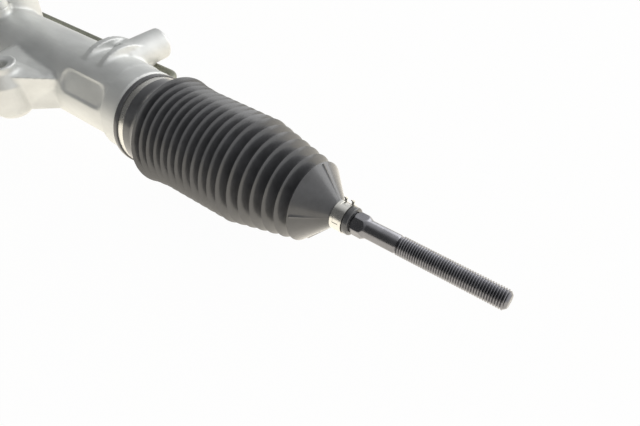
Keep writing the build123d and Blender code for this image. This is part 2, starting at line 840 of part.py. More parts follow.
def valve_sleeve():
    """The ported sleeve around the input shaft, pinned to the pinion's head."""
    inner = input_shaft_radius + running_gap
    body = post(sleeve_radius - 0.3, sleeve_bottom, sleeve_top) - post(inner, sleeve_bottom - 1, sleeve_top + 1)
    for groove_z in sleeve_grooves():
        body -= turned_upright((
            (sleeve_radius - 2, groove_z),
            (sleeve_radius + 1, groove_z),
            (sleeve_radius + 1, groove_z + sleeve_ring_width),
            (sleeve_radius - 2, groove_z + sleeve_ring_width),
        ))
    skirt = post(sleeve_skirt_radius, pinion_head_top - 6, sleeve_bottom)
    skirt -= post(pinion_head_radius, pinion_head_top - 7, pinion_head_top)
    skirt -= post(inner, pinion_head_top - 1, sleeve_bottom + 1)
    return at_pinion(body + skirt)


def sleeve_grooves():
    """The height of each of the four ring grooves."""
    spacing = (sleeve_top - sleeve_bottom - 2 * sleeve_ring_width) / 3
    return [sleeve_bottom + sleeve_ring_width / 2 + index * spacing for index in range(4)]


def sleeve_rings():
    """The four sealing rings that part the valve's oil channels."""
    rings = []
    for groove_z in sleeve_grooves():
        outside = post(sleeve_radius, groove_z, groove_z + sleeve_ring_width)
        inside = post(sleeve_radius - 2, groove_z - 1, groove_z + sleeve_ring_width + 1)
        rings.append(at_pinion(outside - inside))
    return rings


def torsion_bar():
    """The spring bar pressed into the pinion, which centres the input shaft."""
    top = input_shaft_top - 12
    waist = torsion_bar_radius - 0.5
    return at_pinion(turned_upright((
        (0, 1),
        (torsion_bar_radius, 1),
        (torsion_bar_radius, 14),
        (waist, 18),
        (waist, top - 18),
        (torsion_bar_radius, top - 14),
        (torsion_bar_radius, top),
        (0, top),
    )))


def pinion_nut():
    """The nut that holds the ball bearing on the pinion."""
    top = ball_bearing_top - ball_bearing_width
    nut = Pos(0, 0, top - pinion_nut_height) * hexagon(2 * pinion_nut_radius, pinion_nut_height)
    return at_pinion(nut - post(6.0, top - pinion_nut_height - 1, top + 1))


def input_shaft():
    """The valve's rotor with its tang, oil flutes and the stub for the steering column's joint."""
    play_top = pinion_head_top - 6
    body = turned_upright((
        (0, sleeve_bottom - 1),
        (input_shaft_radius, sleeve_bottom - 1),
        (input_shaft_radius, input_shaft_top),
        (spline_radius, input_shaft_top + 2),
        (spline_radius, input_shaft_top + spline_length - 1),
        (spline_radius - 1, input_shaft_top + spline_length),
        (0, input_shaft_top + spline_length),
    ))
    reach = input_shaft_radius
    tang = Box(2 * reach - 2, tang_width, sleeve_bottom - play_top, align=FROM_BASE)
    body += Pos(0, 0, play_top) * tang
    flute = post(2.2, sleeve_bottom + 7, sleeve_top - 7, input_shaft_radius + 0.8)
    for turn in range(6):
        body -= Rot(0, 0, turn * 60) * flute
    body -= post(torsion_bar_radius + running_gap, play_top - 1, input_shaft_top - 11.5)
    return at_pinion(body)


def ball_bearing():
    """The shielded ball bearing at the pinion's foot."""
    bottom = ball_bearing_top - ball_bearing_width
    body = post(ball_bearing_radius, bottom, ball_bearing_top)
    body -= post(lower_journal_radius, bottom - 1, ball_bearing_top + 1)
    shield = post(ball_bearing_radius - 3, 0, 2) - post(lower_journal_radius + 3, -1, 3)
    body -= Pos(0, 0, bottom - 1) * shield
    return at_pinion(body - Pos(0, 0, ball_bearing_top - 1) * shield)


def needle_bearing():
    """The drawn-cup needle bearing above the teeth."""
    top = needle_bottom + needle_width
    body = post(needle_radius, needle_bottom, top)
    return at_pinion(body - post(upper_journal_radius, needle_bottom - 1, top + 1))


def bottom_cap():
    """The threaded cap under the pinion, with a hexagon socket."""
    body = post(ball_bearing_radius, tower_bottom, tower_bottom + bottom_cap_thickness)
    socket = Pos(0, 0, tower_bottom - 1) * hexagon(14.0, 4.5)
    return at_pinion(body - socket)


# Valve housing
def valve_housing():
    """The cast valve body bolted to the tower, with two line ports and two feed ports."""
    body = post(valve_body_radius, tower_top, valve_body_top)
    for turn in flange_turns:
        top = tower_top + flange_thickness
        body += Rot(0, 0, turn) * post(flange_lobe_radius, tower_top, top, flange_bolt_circle)
        web = Box(flange_bolt_circle, 2 * flange_lobe_radius - 3, flange_thickness, align=UPPER_SIDE)
        body += Rot(0, 0, turn) * Pos(0, 0, tower_top) * web
    for height in (line_port_low, upper_port_height):
        boss = bar(line_port_radius + port_boss_wall, valve_port_x - pinion_x, 0)
        body += Pos(0, 0, height) * boss
    for height in (feed_port_low, upper_port_height):
        body += rearward(return_port_radius + port_boss_wall, 0, feed_port_reach, 0, height)
    bore = sleeve_radius + running_gap
    body -= post(bore, tower_top - 1, input_bearing_bottom)
    body -= post(input_bearing_radius, input_bearing_bottom - 1, valve_body_top)
    body -= post(shaft_seal_radius, valve_body_top - shaft_seal_height - 1, valve_body_top + 1)
    for turn in flange_turns:
        body -= Rot(0, 0, turn) * post(flange_bolt_radius, tower_top - 1, top + 1, flange_bolt_circle)
        body -= Rot(0, 0, turn) * post(bolt_head_radius + 0.5, top, dust_cap_bottom - 2, flange_bolt_circle)
    for height in (line_port_low, upper_port_height):
        port_face = valve_port_x - pinion_x
        body -= Pos(0, 0, height) * bar(line_port_radius, port_face - 1, port_face + port_depth)
        body -= Pos(0, 0, height) * bar(breather_radius, port_face, 0)
    for height, radius in ((feed_port_low, line_port_radius), (upper_port_height, return_port_radius)):
        body -= rearward(radius, feed_port_reach - port_depth, feed_port_reach + 1, 0, height)
        body -= rearward(breather_radius, 0, feed_port_reach, 0, height)
    return at_pinion(body)


def valve_bolts():
    """The socket screws of the valve housing."""
    bolts = []
    head_height = 8.0
    top = tower_top + flange_thickness
    for turn in flange_turns:
        bolt = post(flange_bolt_radius, tower_top - 12, top, flange_bolt_circle)
        head = post(bolt_head_radius, top, top + head_height, flange_bolt_circle)
        head -= Pos(flange_bolt_circle, 0, top + head_height - 4) * hexagon(6.0, 5)
        bolts.append(at_pinion(Rot(0, 0, turn) * (bolt + head)))
    return bolts


def input_bearing():
    """The needle bearing of the input shaft."""
    top = input_bearing_bottom + input_bearing_height
    body = post(input_bearing_radius, input_bearing_bottom, top)
    return at_pinion(body - post(input_shaft_radius + running_gap, input_bearing_bottom - 1, top + 1))


def shaft_seal():
    """The lip seal of the input shaft."""
    bottom = valve_body_top - shaft_seal_height
    body = post(shaft_seal_radius, bottom - 1, valve_body_top)
    body -= post(input_shaft_radius + running_gap, bottom - 2, valve_body_top + 1)
    lip = post(shaft_seal_radius - 2, valve_body_top - 2, valve_body_top + 1)
    lip -= post(input_shaft_radius + 2, valve_body_top - 3, valve_body_top + 2)
    return at_pinion(body - lip)


def dust_cap():
    """The moulded rubber cap over the input shaft's seal."""
    wall = 2.0
    bottom = dust_cap_bottom
    top = bottom + dust_cap_height
    opening = input_shaft_radius + soft_gap
    return at_pinion(turned_upright((
        (valve_body_radius, bottom),
        (valve_body_radius + wall, bottom),
        (valve_body_radius + wall, valve_body_top),
        (valve_body_radius - 3, valve_body_top + wall),
        (opening + 3, top),
        (opening, top - 1),
        (opening, valve_body_top + 1),
        (shaft_seal_radius, valve_body_top),
        (valve_body_radius, valve_body_top),
    )))


# Yoke
def yoke():
    """The sliding block that presses the rack into mesh."""
    saddle = rack_radius + running_gap + yoke_liner
    body = rearward(yoke_radius, -adjuster_face, 0, pinion_x)
    body -= bar(saddle, pinion_x - yoke_radius - 1, pinion_x + yoke_radius + 1)
    trim = Box(3 * yoke_radius, 8, 3 * yoke_radius, align=(Align.CENTER, Align.MAX, Align.CENTER))
    body -= Pos(pinion_x, 1, 0) * trim
    groove_y = -adjuster_face + 6
    groove = rearward(yoke_radius + 1, groove_y - yoke_o_ring_radius, groove_y + yoke_o_ring_radius, pinion_x)
    groove -= rearward(yoke_radius - 2 * yoke_o_ring_radius, -adjuster_face, 0, pinion_x)
    body -= groove
    return body - rearward(6, -adjuster_face - 1, -adjuster_face + 5, pinion_x)


def yoke_liner_pad():
    """The low-friction liner between the yoke and the rack's back."""
    inner = rack_radius + running_gap
    half_width = yoke_radius - 3
    shell = ring(inner + yoke_liner, inner, pinion_x - half_width, pinion_x + half_width)
    keep = Box(4 * half_width, 20, 22, align=(Align.CENTER, Align.MAX, Align.CENTER))
    return shell & Pos(pinion_x, -7.5, 0) * keep


def yoke_o_ring():
    """The rubber ring that keeps the yoke from rattling."""
    groove_y = -adjuster_face + 6
    hoop = Torus(yoke_radius - yoke_o_ring_radius, yoke_o_ring_radius)
    return Pos(pinion_x, groove_y, 0) * Rot(90, 0, 0) * hoop


def yoke_spring():
    """The disc spring behind the yoke."""
    thickness = 1.2
    lift = disc_spring_height - thickness
    outer = yoke_radius - 1.5
    disc = turned_upright((
        (7, 0),
        (outer, lift),
        (outer, disc_spring_height),
        (7, thickness),
    ))
    return Pos(pinion_x, -adjuster_face, 0) * Rot(90, 0, 0) * disc


def adjuster_plug():
    """The screwed plug that sets the yoke's clearance."""
    body = rearward(plug_radius, -plug_inner_face - plug_length, -plug_inner_face, pinion_x)
    outer_face = -plug_inner_face - plug_length
    socket = Pos(pinion_x, outer_face + 8, 0) * Rot(90, 0, 0) * hexagon(plug_socket_flats, 9)
    return body - socket


def adjuster_lock_nut():
    """The thin nut that locks the adjuster plug."""
    nut = Rot(90, 0, 0) * hexagon(lock_nut_flats, lock_nut_height)
    nut = Pos(pinion_x, -yoke_boss_reach, 0) * nut
    return nut - rearward(plug_radius, -yoke_boss_reach - lock_nut_height - 1, -yoke_boss_reach + 1, pinion_x)


# Pipes
def pipe(points, radius, bend, wall):
    """A bent pipe along a route with one bend radius."""
    route = FilletPolyline(*points, radius=bend)
    start = Plane(origin=route @ 0, z_dir=route % 0)
    section = start * (Circle(radius) - Circle(radius - wall))
    return sweep(section, path=route)


def line_route(height, port_x, rear_y):
    """A hydraulic line from a port on the valve housing to a port on the cylinder."""
    inside = port_depth - 3
    return (
        (valve_port_x + inside, pinion_y, height),
        (valve_port_x - 46, pinion_y, height),
        (valve_port_x - 100, rear_y, line_port_low),
        (port_x + 45, rear_y, line_port_low),
        (port_x, 0, line_port_low),
        (port_x, 0, cylinder_port_top - inside),
    )


def inner_line():
    """The line to the inner cylinder port, over the top of the tube."""
    inside = port_depth - 3
    route = (
        (valve_port_x + inside, pinion_y, line_port_low),
        (valve_port_x - 40, pinion_y, line_port_low),
        (inner_port_x, 0, line_port_low),
        (inner_port_x, 0, cylinder_port_top - inside),
    )
    return pipe(route, line_radius, line_bend, 1.0)


def outer_line():
    """The line to the outer cylinder port, behind and above the tube."""
    return pipe(line_route(upper_port_height, outer_port_x, line_rear_y), line_radius, line_bend, 1.0)


def line_nut():
    """A union nut around the end of a line, along +Z, screwed into the port below it."""
    nut = hexagon(line_nut_flats, line_nut_height) + post(line_port_radius, -port_depth + 4, 0)
    return nut - post(line_radius, -port_depth, line_nut_height + 1)


def line_nuts():
    """The four union nuts of the two lines."""
    nuts = []
    for port_x in (inner_port_x, outer_port_x):
        nuts.append(Pos(port_x, 0, cylinder_port_top) * line_nut())
    for height in (line_port_low, upper_port_height):
        nuts.append(Pos(valve_port_x, pinion_y, height) * Rot(0, -90, 0) * line_nut())
    return nuts


def breather_pipe():
    """The thin pipe that lets air pass between the two boots."""
    inner_end = casting_radius
    route = (
        (-breather_end_x, inner_end, breather_z),
        (-breather_end_x, breather_y, breather_z),
        (breather_end_x, breather_y, breather_z),
        (breather_end_x, inner_end, breather_z),
    )
    return pipe(route, breather_radius, breather_bend, 0.8)


def pipe_clip(x):
    """One steel clip: a loop around the breather pipe and a tab on its boss."""
    inner = breather_radius + press_gap
    outer = inner + clip_thickness
    loop = ring(outer, inner, x - clip_width / 2, x + clip_width / 2)
    loop = Pos(0, breather_y, breather_z) * loop
    tab_top = breather_z
    tab_bottom = clip_boss_z - clip_boss_radius
    tab = Box(clip_width, clip_thickness, tab_top - tab_bottom, align=(Align.CENTER, Align.MIN, Align.MIN))
    tab = Pos(x, breather_y - outer, tab_bottom) * tab
    body = loop + tab - bar(inner, x - clip_width, x + clip_width).moved(Location((0, breather_y, breather_z)))
    return body - rearward(clip_screw_radius, breather_y - outer - 1, breather_y, x, clip_boss_z)


def clip_screw(x):
    """The hexagon screw of one pipe clip."""
    face = breather_y - breather_radius - press_gap
    shank = rearward(clip_screw_radius, casting_radius - 2, face, x, clip_boss_z)
    head = Pos(x, face, clip_boss_z) * Rot(-90, 0, 0) * hexagon(10.0, 4)
    return shank + head


def write(name, shape):
    """Moves a piece, or a list of like pieces, to the frame and writes it."""
    pieces = shape if isinstance(shape, list) else [shape]
    solids = [solid for piece in pieces for solid in (to_frame * piece).solids()]
    whole = solids[0] if len(solids) == 1 else Compound(children=solids)
    export_step(whole, "parts/" + name + ".step")


def main():
    """Builds every piece of the steering rack."""
    os.makedirs("parts", exist_ok=True)
    write("rack_housing", rack_housing())
    write("end_housing", end_housing())
    write("cylinder_tube", cylinder_tube())
    write("inner_rack_seal", inner_seal())
    write("outer_rack_seal", outer_seal())
    write("end_bushing", end_bushing())
    write("end_retaining_ring", retaining_ring())
    write("rack_bar", rack_bar())
    write("piston", piston())
    write("piston_ring", piston_ring())
    write("piston_snap_rings", piston_snap_rings())
    write("pinion", pinion())
    write("valve_sleeve", valve_sleeve())
    write("sleeve_rings", sleeve_rings())
    write("torsion_bar", torsion_bar())
    write("pinion_nut", pinion_nut())
    write("input_shaft", input_shaft())
    write("pinion_ball_bearing", ball_bearing())
    write("pinion_needle_bearing", needle_bearing())
    write("pinion_bottom_cap", bottom_cap())
    write("valve_housing", valve_housing())
    write("valve_housing_bolts", valve_bolts())
    write("input_bearing", input_bearing())
    write("input_shaft_seal", shaft_seal())
    write("dust_cap", dust_cap())
    write("yoke", yoke())
    write("yoke_liner", yoke_liner_pad())
    write("yoke_o_ring", yoke_o_ring())
    write("yoke_spring", yoke_spring())
    write("adjuster_plug", adjuster_plug())
    write("adjuster_lock_nut", adjuster_lock_nut())
    write("inner_hydraulic_line", inner_line())
    write("outer_hydraulic_line", outer_line())
    write("line_nuts", line_nuts())
    write("breather_pipe", breather_pipe())
    write("pipe_clips", [pipe_clip(x) for x in clip_x])
    write("clip_screws", [clip_screw(x) for x in clip_x])
    ends = {
        "tie_rod_socket": tie_rod_socket(),
        "ball_seat": ball_seat(),
        "lock_washer": lock_washer(),
        "tie_rod": tie_rod(),
        "neck_clip": neck_clip(),
        "boot": boot(),
        "boot_band": boot_band(),
    }
    for name, shape in ends.items():
        write("right_" + name, shape)
        write("left_" + name, mirrored(shape))


main()
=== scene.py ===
import json
from math import asin, cos, pi, radians, sin, tau

import bmesh
import bpy
from mathutils import Matrix, Vector


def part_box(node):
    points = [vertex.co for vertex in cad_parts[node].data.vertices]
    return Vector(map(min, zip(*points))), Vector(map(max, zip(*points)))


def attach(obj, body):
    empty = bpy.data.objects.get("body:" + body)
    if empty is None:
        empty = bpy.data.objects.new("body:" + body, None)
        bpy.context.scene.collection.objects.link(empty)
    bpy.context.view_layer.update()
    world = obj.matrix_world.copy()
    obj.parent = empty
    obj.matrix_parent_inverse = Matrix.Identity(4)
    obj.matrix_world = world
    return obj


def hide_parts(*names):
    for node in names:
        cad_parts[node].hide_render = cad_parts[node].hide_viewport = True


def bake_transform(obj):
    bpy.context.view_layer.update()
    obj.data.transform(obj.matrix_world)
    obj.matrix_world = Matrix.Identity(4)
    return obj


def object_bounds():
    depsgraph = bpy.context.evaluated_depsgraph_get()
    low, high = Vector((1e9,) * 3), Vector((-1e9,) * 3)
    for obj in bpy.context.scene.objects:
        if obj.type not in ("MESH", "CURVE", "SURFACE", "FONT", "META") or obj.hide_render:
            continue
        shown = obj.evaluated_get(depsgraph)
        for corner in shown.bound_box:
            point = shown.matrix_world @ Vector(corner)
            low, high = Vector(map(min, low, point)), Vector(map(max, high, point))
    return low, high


bl_info = {
    "name": "Steering Rack",
    "version": (1, 0, 0),
    "blender": (4, 5, 0),
    "location": "3D View > Sidebar > Steering Rack",
    "description": "Dresses the solids of a power steering rack for a studio picture",
    "category": "Object",
}

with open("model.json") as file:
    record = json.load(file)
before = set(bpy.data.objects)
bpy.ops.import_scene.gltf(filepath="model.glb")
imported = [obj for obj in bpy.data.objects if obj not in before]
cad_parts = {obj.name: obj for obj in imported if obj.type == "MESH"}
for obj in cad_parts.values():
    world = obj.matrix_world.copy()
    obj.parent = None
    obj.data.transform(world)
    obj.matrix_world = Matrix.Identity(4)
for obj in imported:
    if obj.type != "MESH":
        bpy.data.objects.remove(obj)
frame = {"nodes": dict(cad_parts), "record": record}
cad_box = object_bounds()

MM = 0.001
SIDES = (("right", 1, 0), ("left", -1, pi))
WELD = 5e-6          # points nearer than this belong to one corner of a solid
THREAD_DEPTH = 0.61  # depth of a metric thread, as a share of its pitch

# The rack's own line, which every turned piece is built around.
rack_low, rack_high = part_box("rack_bar")
boot_low, boot_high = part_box("right_boot")
rod_low, rod_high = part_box("right_tie_rod")
RACK_LINE = Vector((0, (rack_low.y + rack_high.y) / 2, (rack_low.z + rack_high.z) / 2))


def linear(hex_colour):
    """The linear colour of an sRGB hex value such as "8C9094"."""
    parts = [int(hex_colour[at:at + 2], 16) / 255 for at in (0, 2, 4)]
    return [part / 12.92 if part <= 0.04045 else ((part + 0.055) / 1.055) ** 2.4 for part in parts]


def size(name, description, millimetres):
    """A length that a user can change, with its default given in millimetres."""
    return bpy.props.FloatProperty(
        name=name, description=description, default=millimetres * MM,
        min=0, precision=5, subtype="DISTANCE", unit="LENGTH",
    )


def number(name, description, count, least):
    """A whole number that a user can change."""
    return bpy.props.IntProperty(name=name, description=description, default=count, min=least)


def colour(name, description, hex_colour):
    """A colour that a user can change, with its default given as sRGB hex."""
    return bpy.props.FloatVectorProperty(
        name=name, description=description, default=linear(hex_colour), size=3,
        min=0, max=1, subtype="COLOR",
    )


class SteeringRackSizes(bpy.types.PropertyGroup):
    """Sizes of the pieces that are made here instead of in the solids."""

    boot_lip_width: size("Boot lip", "Width of the bead at the boot's large end", 4.0)
    boot_seat_radius: size("Boot seat radius", "Radius of the casting under the boot", 30.0)
    boot_groove_radius: size("Band groove radius", "Radius of the groove under the band", 31.6)
    band_width: size("Band width", "Width of the band's groove in the boot", 5.4)
    band_thickness: size("Band thickness", "Thickness of the steel band", 0.8)
    boot_lip_radius: size("Boot lip radius", "Radius of the bead at the boot's large end", 33.4)
    boot_collar_radius: size("Boot collar radius", "Radius of the plain part after the band", 32.8)
    boot_collar_end: size("Boot collar end", "Where the first convolution starts", 317.0)
    first_crest: size("First crest", "Place of the first crest from the middle of the rack", 324.7)
    cone_length: size("Cone length", "Last crest to the boot's neck", 18.0)
    crest_radius: size("Crest radius", "Radius of the crests along the middle of the boot", 36.6)
    first_crest_radius: size("First crest radius", "Radius of the large first crest", 39.1)
    last_crest_radius: size("Last crest radius", "Radius of the crest before the cone", 26.3)
    fold_depth: size("Fold depth", "Crest to root of one convolution", 6.0)
    wall: size("Boot wall", "Thickness of the rubber", 1.8)
    neck_start: size("Neck start", "Where the boot's neck starts", 467.5)
    neck_radius: size("Neck radius", "Radius of the boot's neck", 8.3)
    bead_radius: size("Neck bead radius", "Radius of the bead at the boot's small end", 8.9)
    bead_length: size("Neck bead length", "Length of the bead at the boot's small end", 3.5)
    clip_width: size("Neck clip width", "Width of the spring clip on the neck", 8.0)
    clip_radius: size("Neck clip radius", "Inner radius of the spring clip", 8.6)
    clip_thickness: size("Neck clip thickness", "Thickness of the spring clip", 0.7)
    ball_radius: size("Ball radius", "Radius of the tie rod's ball", 12.5)
    shank_radius: size("Shank radius", "Radius of the tie rod's shank", 6.2)
    waist_radius: size("Waist radius", "Radius of the tie rod behind its thread", 5.8)
    hexagon_flats: size("Spanner flats", "Width across the tie rod's flats", 13.0)
    hexagon_length: size("Spanner length", "Length of the tie rod's hexagon", 10.0)
    waist_length: size("Waist length", "Length of the plain part behind the thread", 20.6)
    thread_radius: size("Thread radius", "Outer radius of the tie rod's thread", 6.0)
    thread_pitch: size("Thread pitch", "Pitch of the tie rod's thread", 1.5)
    thread_length: size("Thread length", "Length of the tie rod's thread", 67.5)
    end_chamfer: size("End chamfer", "Chamfer at the tie rod's free end", 2.0)
    spline_radius: size("Spline radius", "Outer radius of the input shaft's splines", 8.5)
    spline_depth: size("Spline depth", "Depth of the input shaft's splines", 0.6)
    spline_length: size("Spline length", "Length of the input shaft's stub", 28.0)
    right_casting_grid: size("Right casting grid", "Mesh size of the pinion-side casting", 0.9)
    left_casting_grid: size("Left casting grid", "Mesh size of the cylinder-side casting", 1.0)
    crest_spread: bpy.props.FloatProperty(
        name="Crest spread", description="How much the spacing of the crests grows",
        default=0.155, min=0, max=0.5,
    )
    crest_count: number("Crests", "Crests of one boot", 18, 4)
    taper_crests: number("Tapering crests", "Crests that grow smaller towards the cone", 6, 1)
    spline_count: number("Splines", "Splines around the input shaft", 36, 8)


class SteeringRackColours(bpy.types.PropertyGroup):
    """Colours of the rack's finishes and of the studio."""

    aluminium: colour("Cast aluminium", "Die-cast and tumbled housings", "E3E4E2")
    tube_paint: colour("Tube paint", "Thin black paint on the cylinder", "1B1C1E")
    steel: colour("Machined steel", "Ground and hardened steel", "B9B9B8")
    phosphate: colour("Phosphated steel", "Black phosphate with a film of oil", "88888C")
    zinc: colour("Zinc plating", "Bright zinc on clips, bands and nuts", "E4E3DE")
    pipe_coat: colour("Pipe coat", "Olive passivated and sealed pipes", "8E8F82")
    rubber: colour("Boot rubber", "Moulded chloroprene rubber", "3B3B3D")
    plastic: colour("Seat plastic", "Natural acetal of seats and bushings", "C9C2AE")
    floor: colour("Floor", "Studio floor and backdrop", "F6F0E4")


# Materials

def add(owner, kind, links=(), **settings):
    """Adds a node to a material or world, sets its properties or inputs by name and links its inputs."""
    node = owner.node_tree.nodes.new(kind)
    for name, value in settings.items():
        if name in node.bl_rna.properties:
            setattr(node, name, value)
        else:
            node.inputs[name.replace("_", " ")].default_value = value
    for name, source in dict(links).items():
        owner.node_tree.links.new(source, node.inputs[name])
    return node


def surface(name, **settings):
    """A new material with one principled shader, and that shader."""
    material = bpy.data.materials.new(name)
    material.use_nodes = True
    shader = material.node_tree.nodes["Principled BSDF"]
    for label, value in settings.items():
        shader.inputs[label.replace("_", " ")].default_value = value
    return material, shader


def grain(material, millimetres, detail=3.0, stretch=(1, 1, 1)):
    """Noise whose patches are about the given size, fixed to the object."""
    place = add(material, "ShaderNodeTexCoord")
    spread = add(material, "ShaderNodeMapping", {"Vector": place.outputs["Object"]}, Scale=stretch)
    return add(
        material, "ShaderNodeTexNoise", {"Vector": spread.outputs["Vector"]},
        Scale=1 / (millimetres * MM), Detail=detail,
    )


def shades(material, source, dark, light, low=0.3, high=0.7):
    """Turns a pattern into a run between two colours."""
    ramp = add(material, "ShaderNodeValToRGB", {"Fac": source})
    ends = ramp.color_ramp.elements
    ends[0].position = low
    ends[1].position = high
    ends[0].color = (*dark, 1)
    ends[1].color = (*light, 1)
    return ramp.outputs["Color"]


def span(material, source, low, high):
    """Turns a pattern into numbers between two limits."""
    node = add(material, "ShaderNodeMapRange", {"Value": source}, To_Min=low, To_Max=high)
    return node.outputs["Result"]


def relief(material, shader, pattern, height_mm, strength=1.0):
    """Raises the surface by a pattern of the given height."""
    bump = add(material, "ShaderNodeBump", {"Height": pattern}, Distance=height_mm * MM, Strength=strength)
    material.node_tree.links.new(bump.outputs["Normal"], shader.inputs["Normal"])


def tint(colour_value, amount):
    """The colour made lighter or darker by a share."""
    return [min(1.0, part * amount) for part in colour_value]


def finish(material, shader, skin, roughness):
    """Feeds a finish's colour and roughness to its shader."""
    material.node_tree.links.new(skin, shader.inputs["Base Color"])
    material.node_tree.links.new(roughness, shader.inputs["Roughness"])


def cast_aluminium(colours):
    """Die-cast and tumbled aluminium: satin grey, with faint flow marks and a fine peened skin."""
    material, shader = surface("cast_aluminium_tumbled", Metallic=0.8)
    flow = grain(material, 14, 4, (0.5, 1, 1)).outputs["Fac"]
    peened = grain(material, 0.9, 2).outputs["Fac"]
    skin = shades(material, flow, tint(colours.aluminium, 0.9), tint(colours.aluminium, 1.06))
    finish(material, shader, skin, span(material, flow, 0.5, 0.62))
    relief(material, shader, peened, 0.05, 0.5)
    return material


def painted_tube(colours):
    """Drawn steel with a thin coat of black paint: a soft sheen with faint draw lines along it."""
    material, shader = surface("black_painted_drawn_steel", Metallic=0.0, IOR=1.5)
    drawn = grain(material, 1.2, 2, (0.04, 1, 1)).outputs["Fac"]
    paint = shades(material, drawn, tint(colours.tube_paint, 0.8), tint(colours.tube_paint, 1.3))
    finish(material, shader, paint, span(material, drawn, 0.28, 0.4))
    relief(material, shader, drawn, 0.02, 0.4)
    return material


def machined_steel(colours):
    """Ground and hardened steel: bright, with fine turning marks across the axis."""
    material, shader = surface("ground_hardened_steel", Metallic=1.0)
    turned = grain(material, 0.8, 2, (1, 0.08, 0.08)).outputs["Fac"]
    metal = shades(material, turned, tint(colours.steel, 0.85), tint(colours.steel, 1.08))
    finish(material, shader, metal, span(material, turned, 0.22, 0.36))
    relief(material, shader, turned, 0.01, 0.4)
    return material


def phosphated_steel(colours):
    """Black phosphate under a film of oil: near black, with a broad soft sheen and a fine crystal grain."""
    material, shader = surface("phosphated_oiled_steel", Metallic=1.0)
    crystals = grain(material, 0.5, 3).outputs["Fac"]
    wear = grain(material, 7, 3).outputs["Fac"]
    coat = shades(material, wear, tint(colours.phosphate, 0.88), tint(colours.phosphate, 1.1))
    finish(material, shader, coat, span(material, crystals, 0.2, 0.3))
    relief(material, shader, crystals, 0.02, 0.5)
    return material


def zinc_plate(colours):
    """Bright zinc plating: pale and shiny, with a slight cloudiness."""
    material, shader = surface("bright_zinc_plate", Metallic=1.0)
    clouds = grain(material, 3, 3).outputs["Fac"]
    plate = shades(material, clouds, tint(colours.zinc, 0.94), tint(colours.zinc, 1.03))
    finish(material, shader, plate, span(material, clouds, 0.24, 0.3))
    relief(material, shader, clouds, 0.004, 0.1)
    return material


def passivated_pipe(colours):
    """Zinc-plated pipe with an olive passivation and a sealer: a dull satin green-grey."""
    material, shader = surface("olive_passivated_steel_pipe", Metallic=0.6)
    film = grain(material, 6, 3, (0.2, 1, 1)).outputs["Fac"]
    coat = shades(material, film, tint(colours.pipe_coat, 0.9), tint(colours.pipe_coat, 1.08))
    finish(material, shader, coat, span(material, film, 0.42, 0.52))
    relief(material, shader, film, 0.01, 0.2)
    return material


def boot_rubber(colours):
    """Moulded chloroprene: dark grey-black, with the sheen of its mould wax over a light bloom."""
    material, shader = surface("moulded_black_rubber", Metallic=0.0, IOR=1.55)
    shader.inputs["Coat Weight"].default_value = 1.0
    shader.inputs["Coat Roughness"].default_value = 0.18
    bloom = grain(material, 9, 4).outputs["Fac"]
    pores = grain(material, 0.7, 2).outputs["Fac"]
    skin = shades(material, bloom, tint(colours.rubber, 0.8), tint(colours.rubber, 1.35))
    finish(material, shader, skin, span(material, bloom, 0.34, 0.48))
    relief(material, shader, pores, 0.03, 0.4)
    return material


def seat_plastic(colours):
    """Natural acetal: a waxy cream with a soft sheen."""
    material, shader = surface("natural_acetal", Metallic=0.0, IOR=1.48)
    cloud = grain(material, 5, 3).outputs["Fac"]
    skin = shades(material, cloud, tint(colours.plastic, 0.92), tint(colours.plastic, 1.05))
    finish(material, shader, skin, span(material, cloud, 0.35, 0.45))
    relief(material, shader, cloud, 0.02, 0.3)
    return material


FINISHES = {
    "cast_aluminium": cast_aluminium,
    "steel_tube": painted_tube,
    "machined_steel": machined_steel,
    "phosphated_steel": phosphated_steel,
    "zinc_plated_steel": zinc_plate,
    "black_rubber": boot_rubber,
    "engineering_plastic": seat_plastic,
    "pipes": passivated_pipe,
}


def finish_of(slot_name):
    """The material of one of the record's slots, made once."""
    for material in bpy.data.materials:
        if material.get("slot") == slot_name:
            return material
    made = FINISHES[slot_name](bpy.context.scene.steering_rack_colours)
    made["slot"] = slot_name
    return made


# Shapes

def turned(rows, segments, closed=False):
    """Turns rows of (x, radius) about the X axis; a radius may be a function of the angle."""
    points = []
    for x, radius in rows:
        for column in range(segments):
            angle = tau * column / segments
            reach = radius(angle) if callable(radius) else radius
            points.append((x, reach * cos(angle), reach * sin(angle)))
    count = len(rows)
    faces = []
    for row in range(count if closed else count - 1):
        here = row * segments
        beyond = (row + 1) % count * segments
        for column in range(segments):
            following = (column + 1) % segments
            faces.append((here + column, here + following, beyond + following, beyond + column))
    if not closed:
        faces.append(tuple(range(segments)))
        faces.append(tuple(range((count - 1) * segments, count * segments)))
    return points, faces


def joined(*shapes):
    """Several lists of points and faces as one."""
    points, faces = [], []
    for more_points, more_faces in shapes:
        start = len(points)
        points += more_points
        faces += [tuple(start + corner for corner in face) for face in more_faces]
    return points, faces


def placed(shape, turn_about_x=0.0, shift=(0, 0, 0)):
    """A shape turned about the X axis and then moved."""
    move = Matrix.Translation(shift) @ Matrix.Rotation(turn_about_x, 4, "X")
    return [tuple(move @ Vector(point)) for point in shape[0]], shape[1]


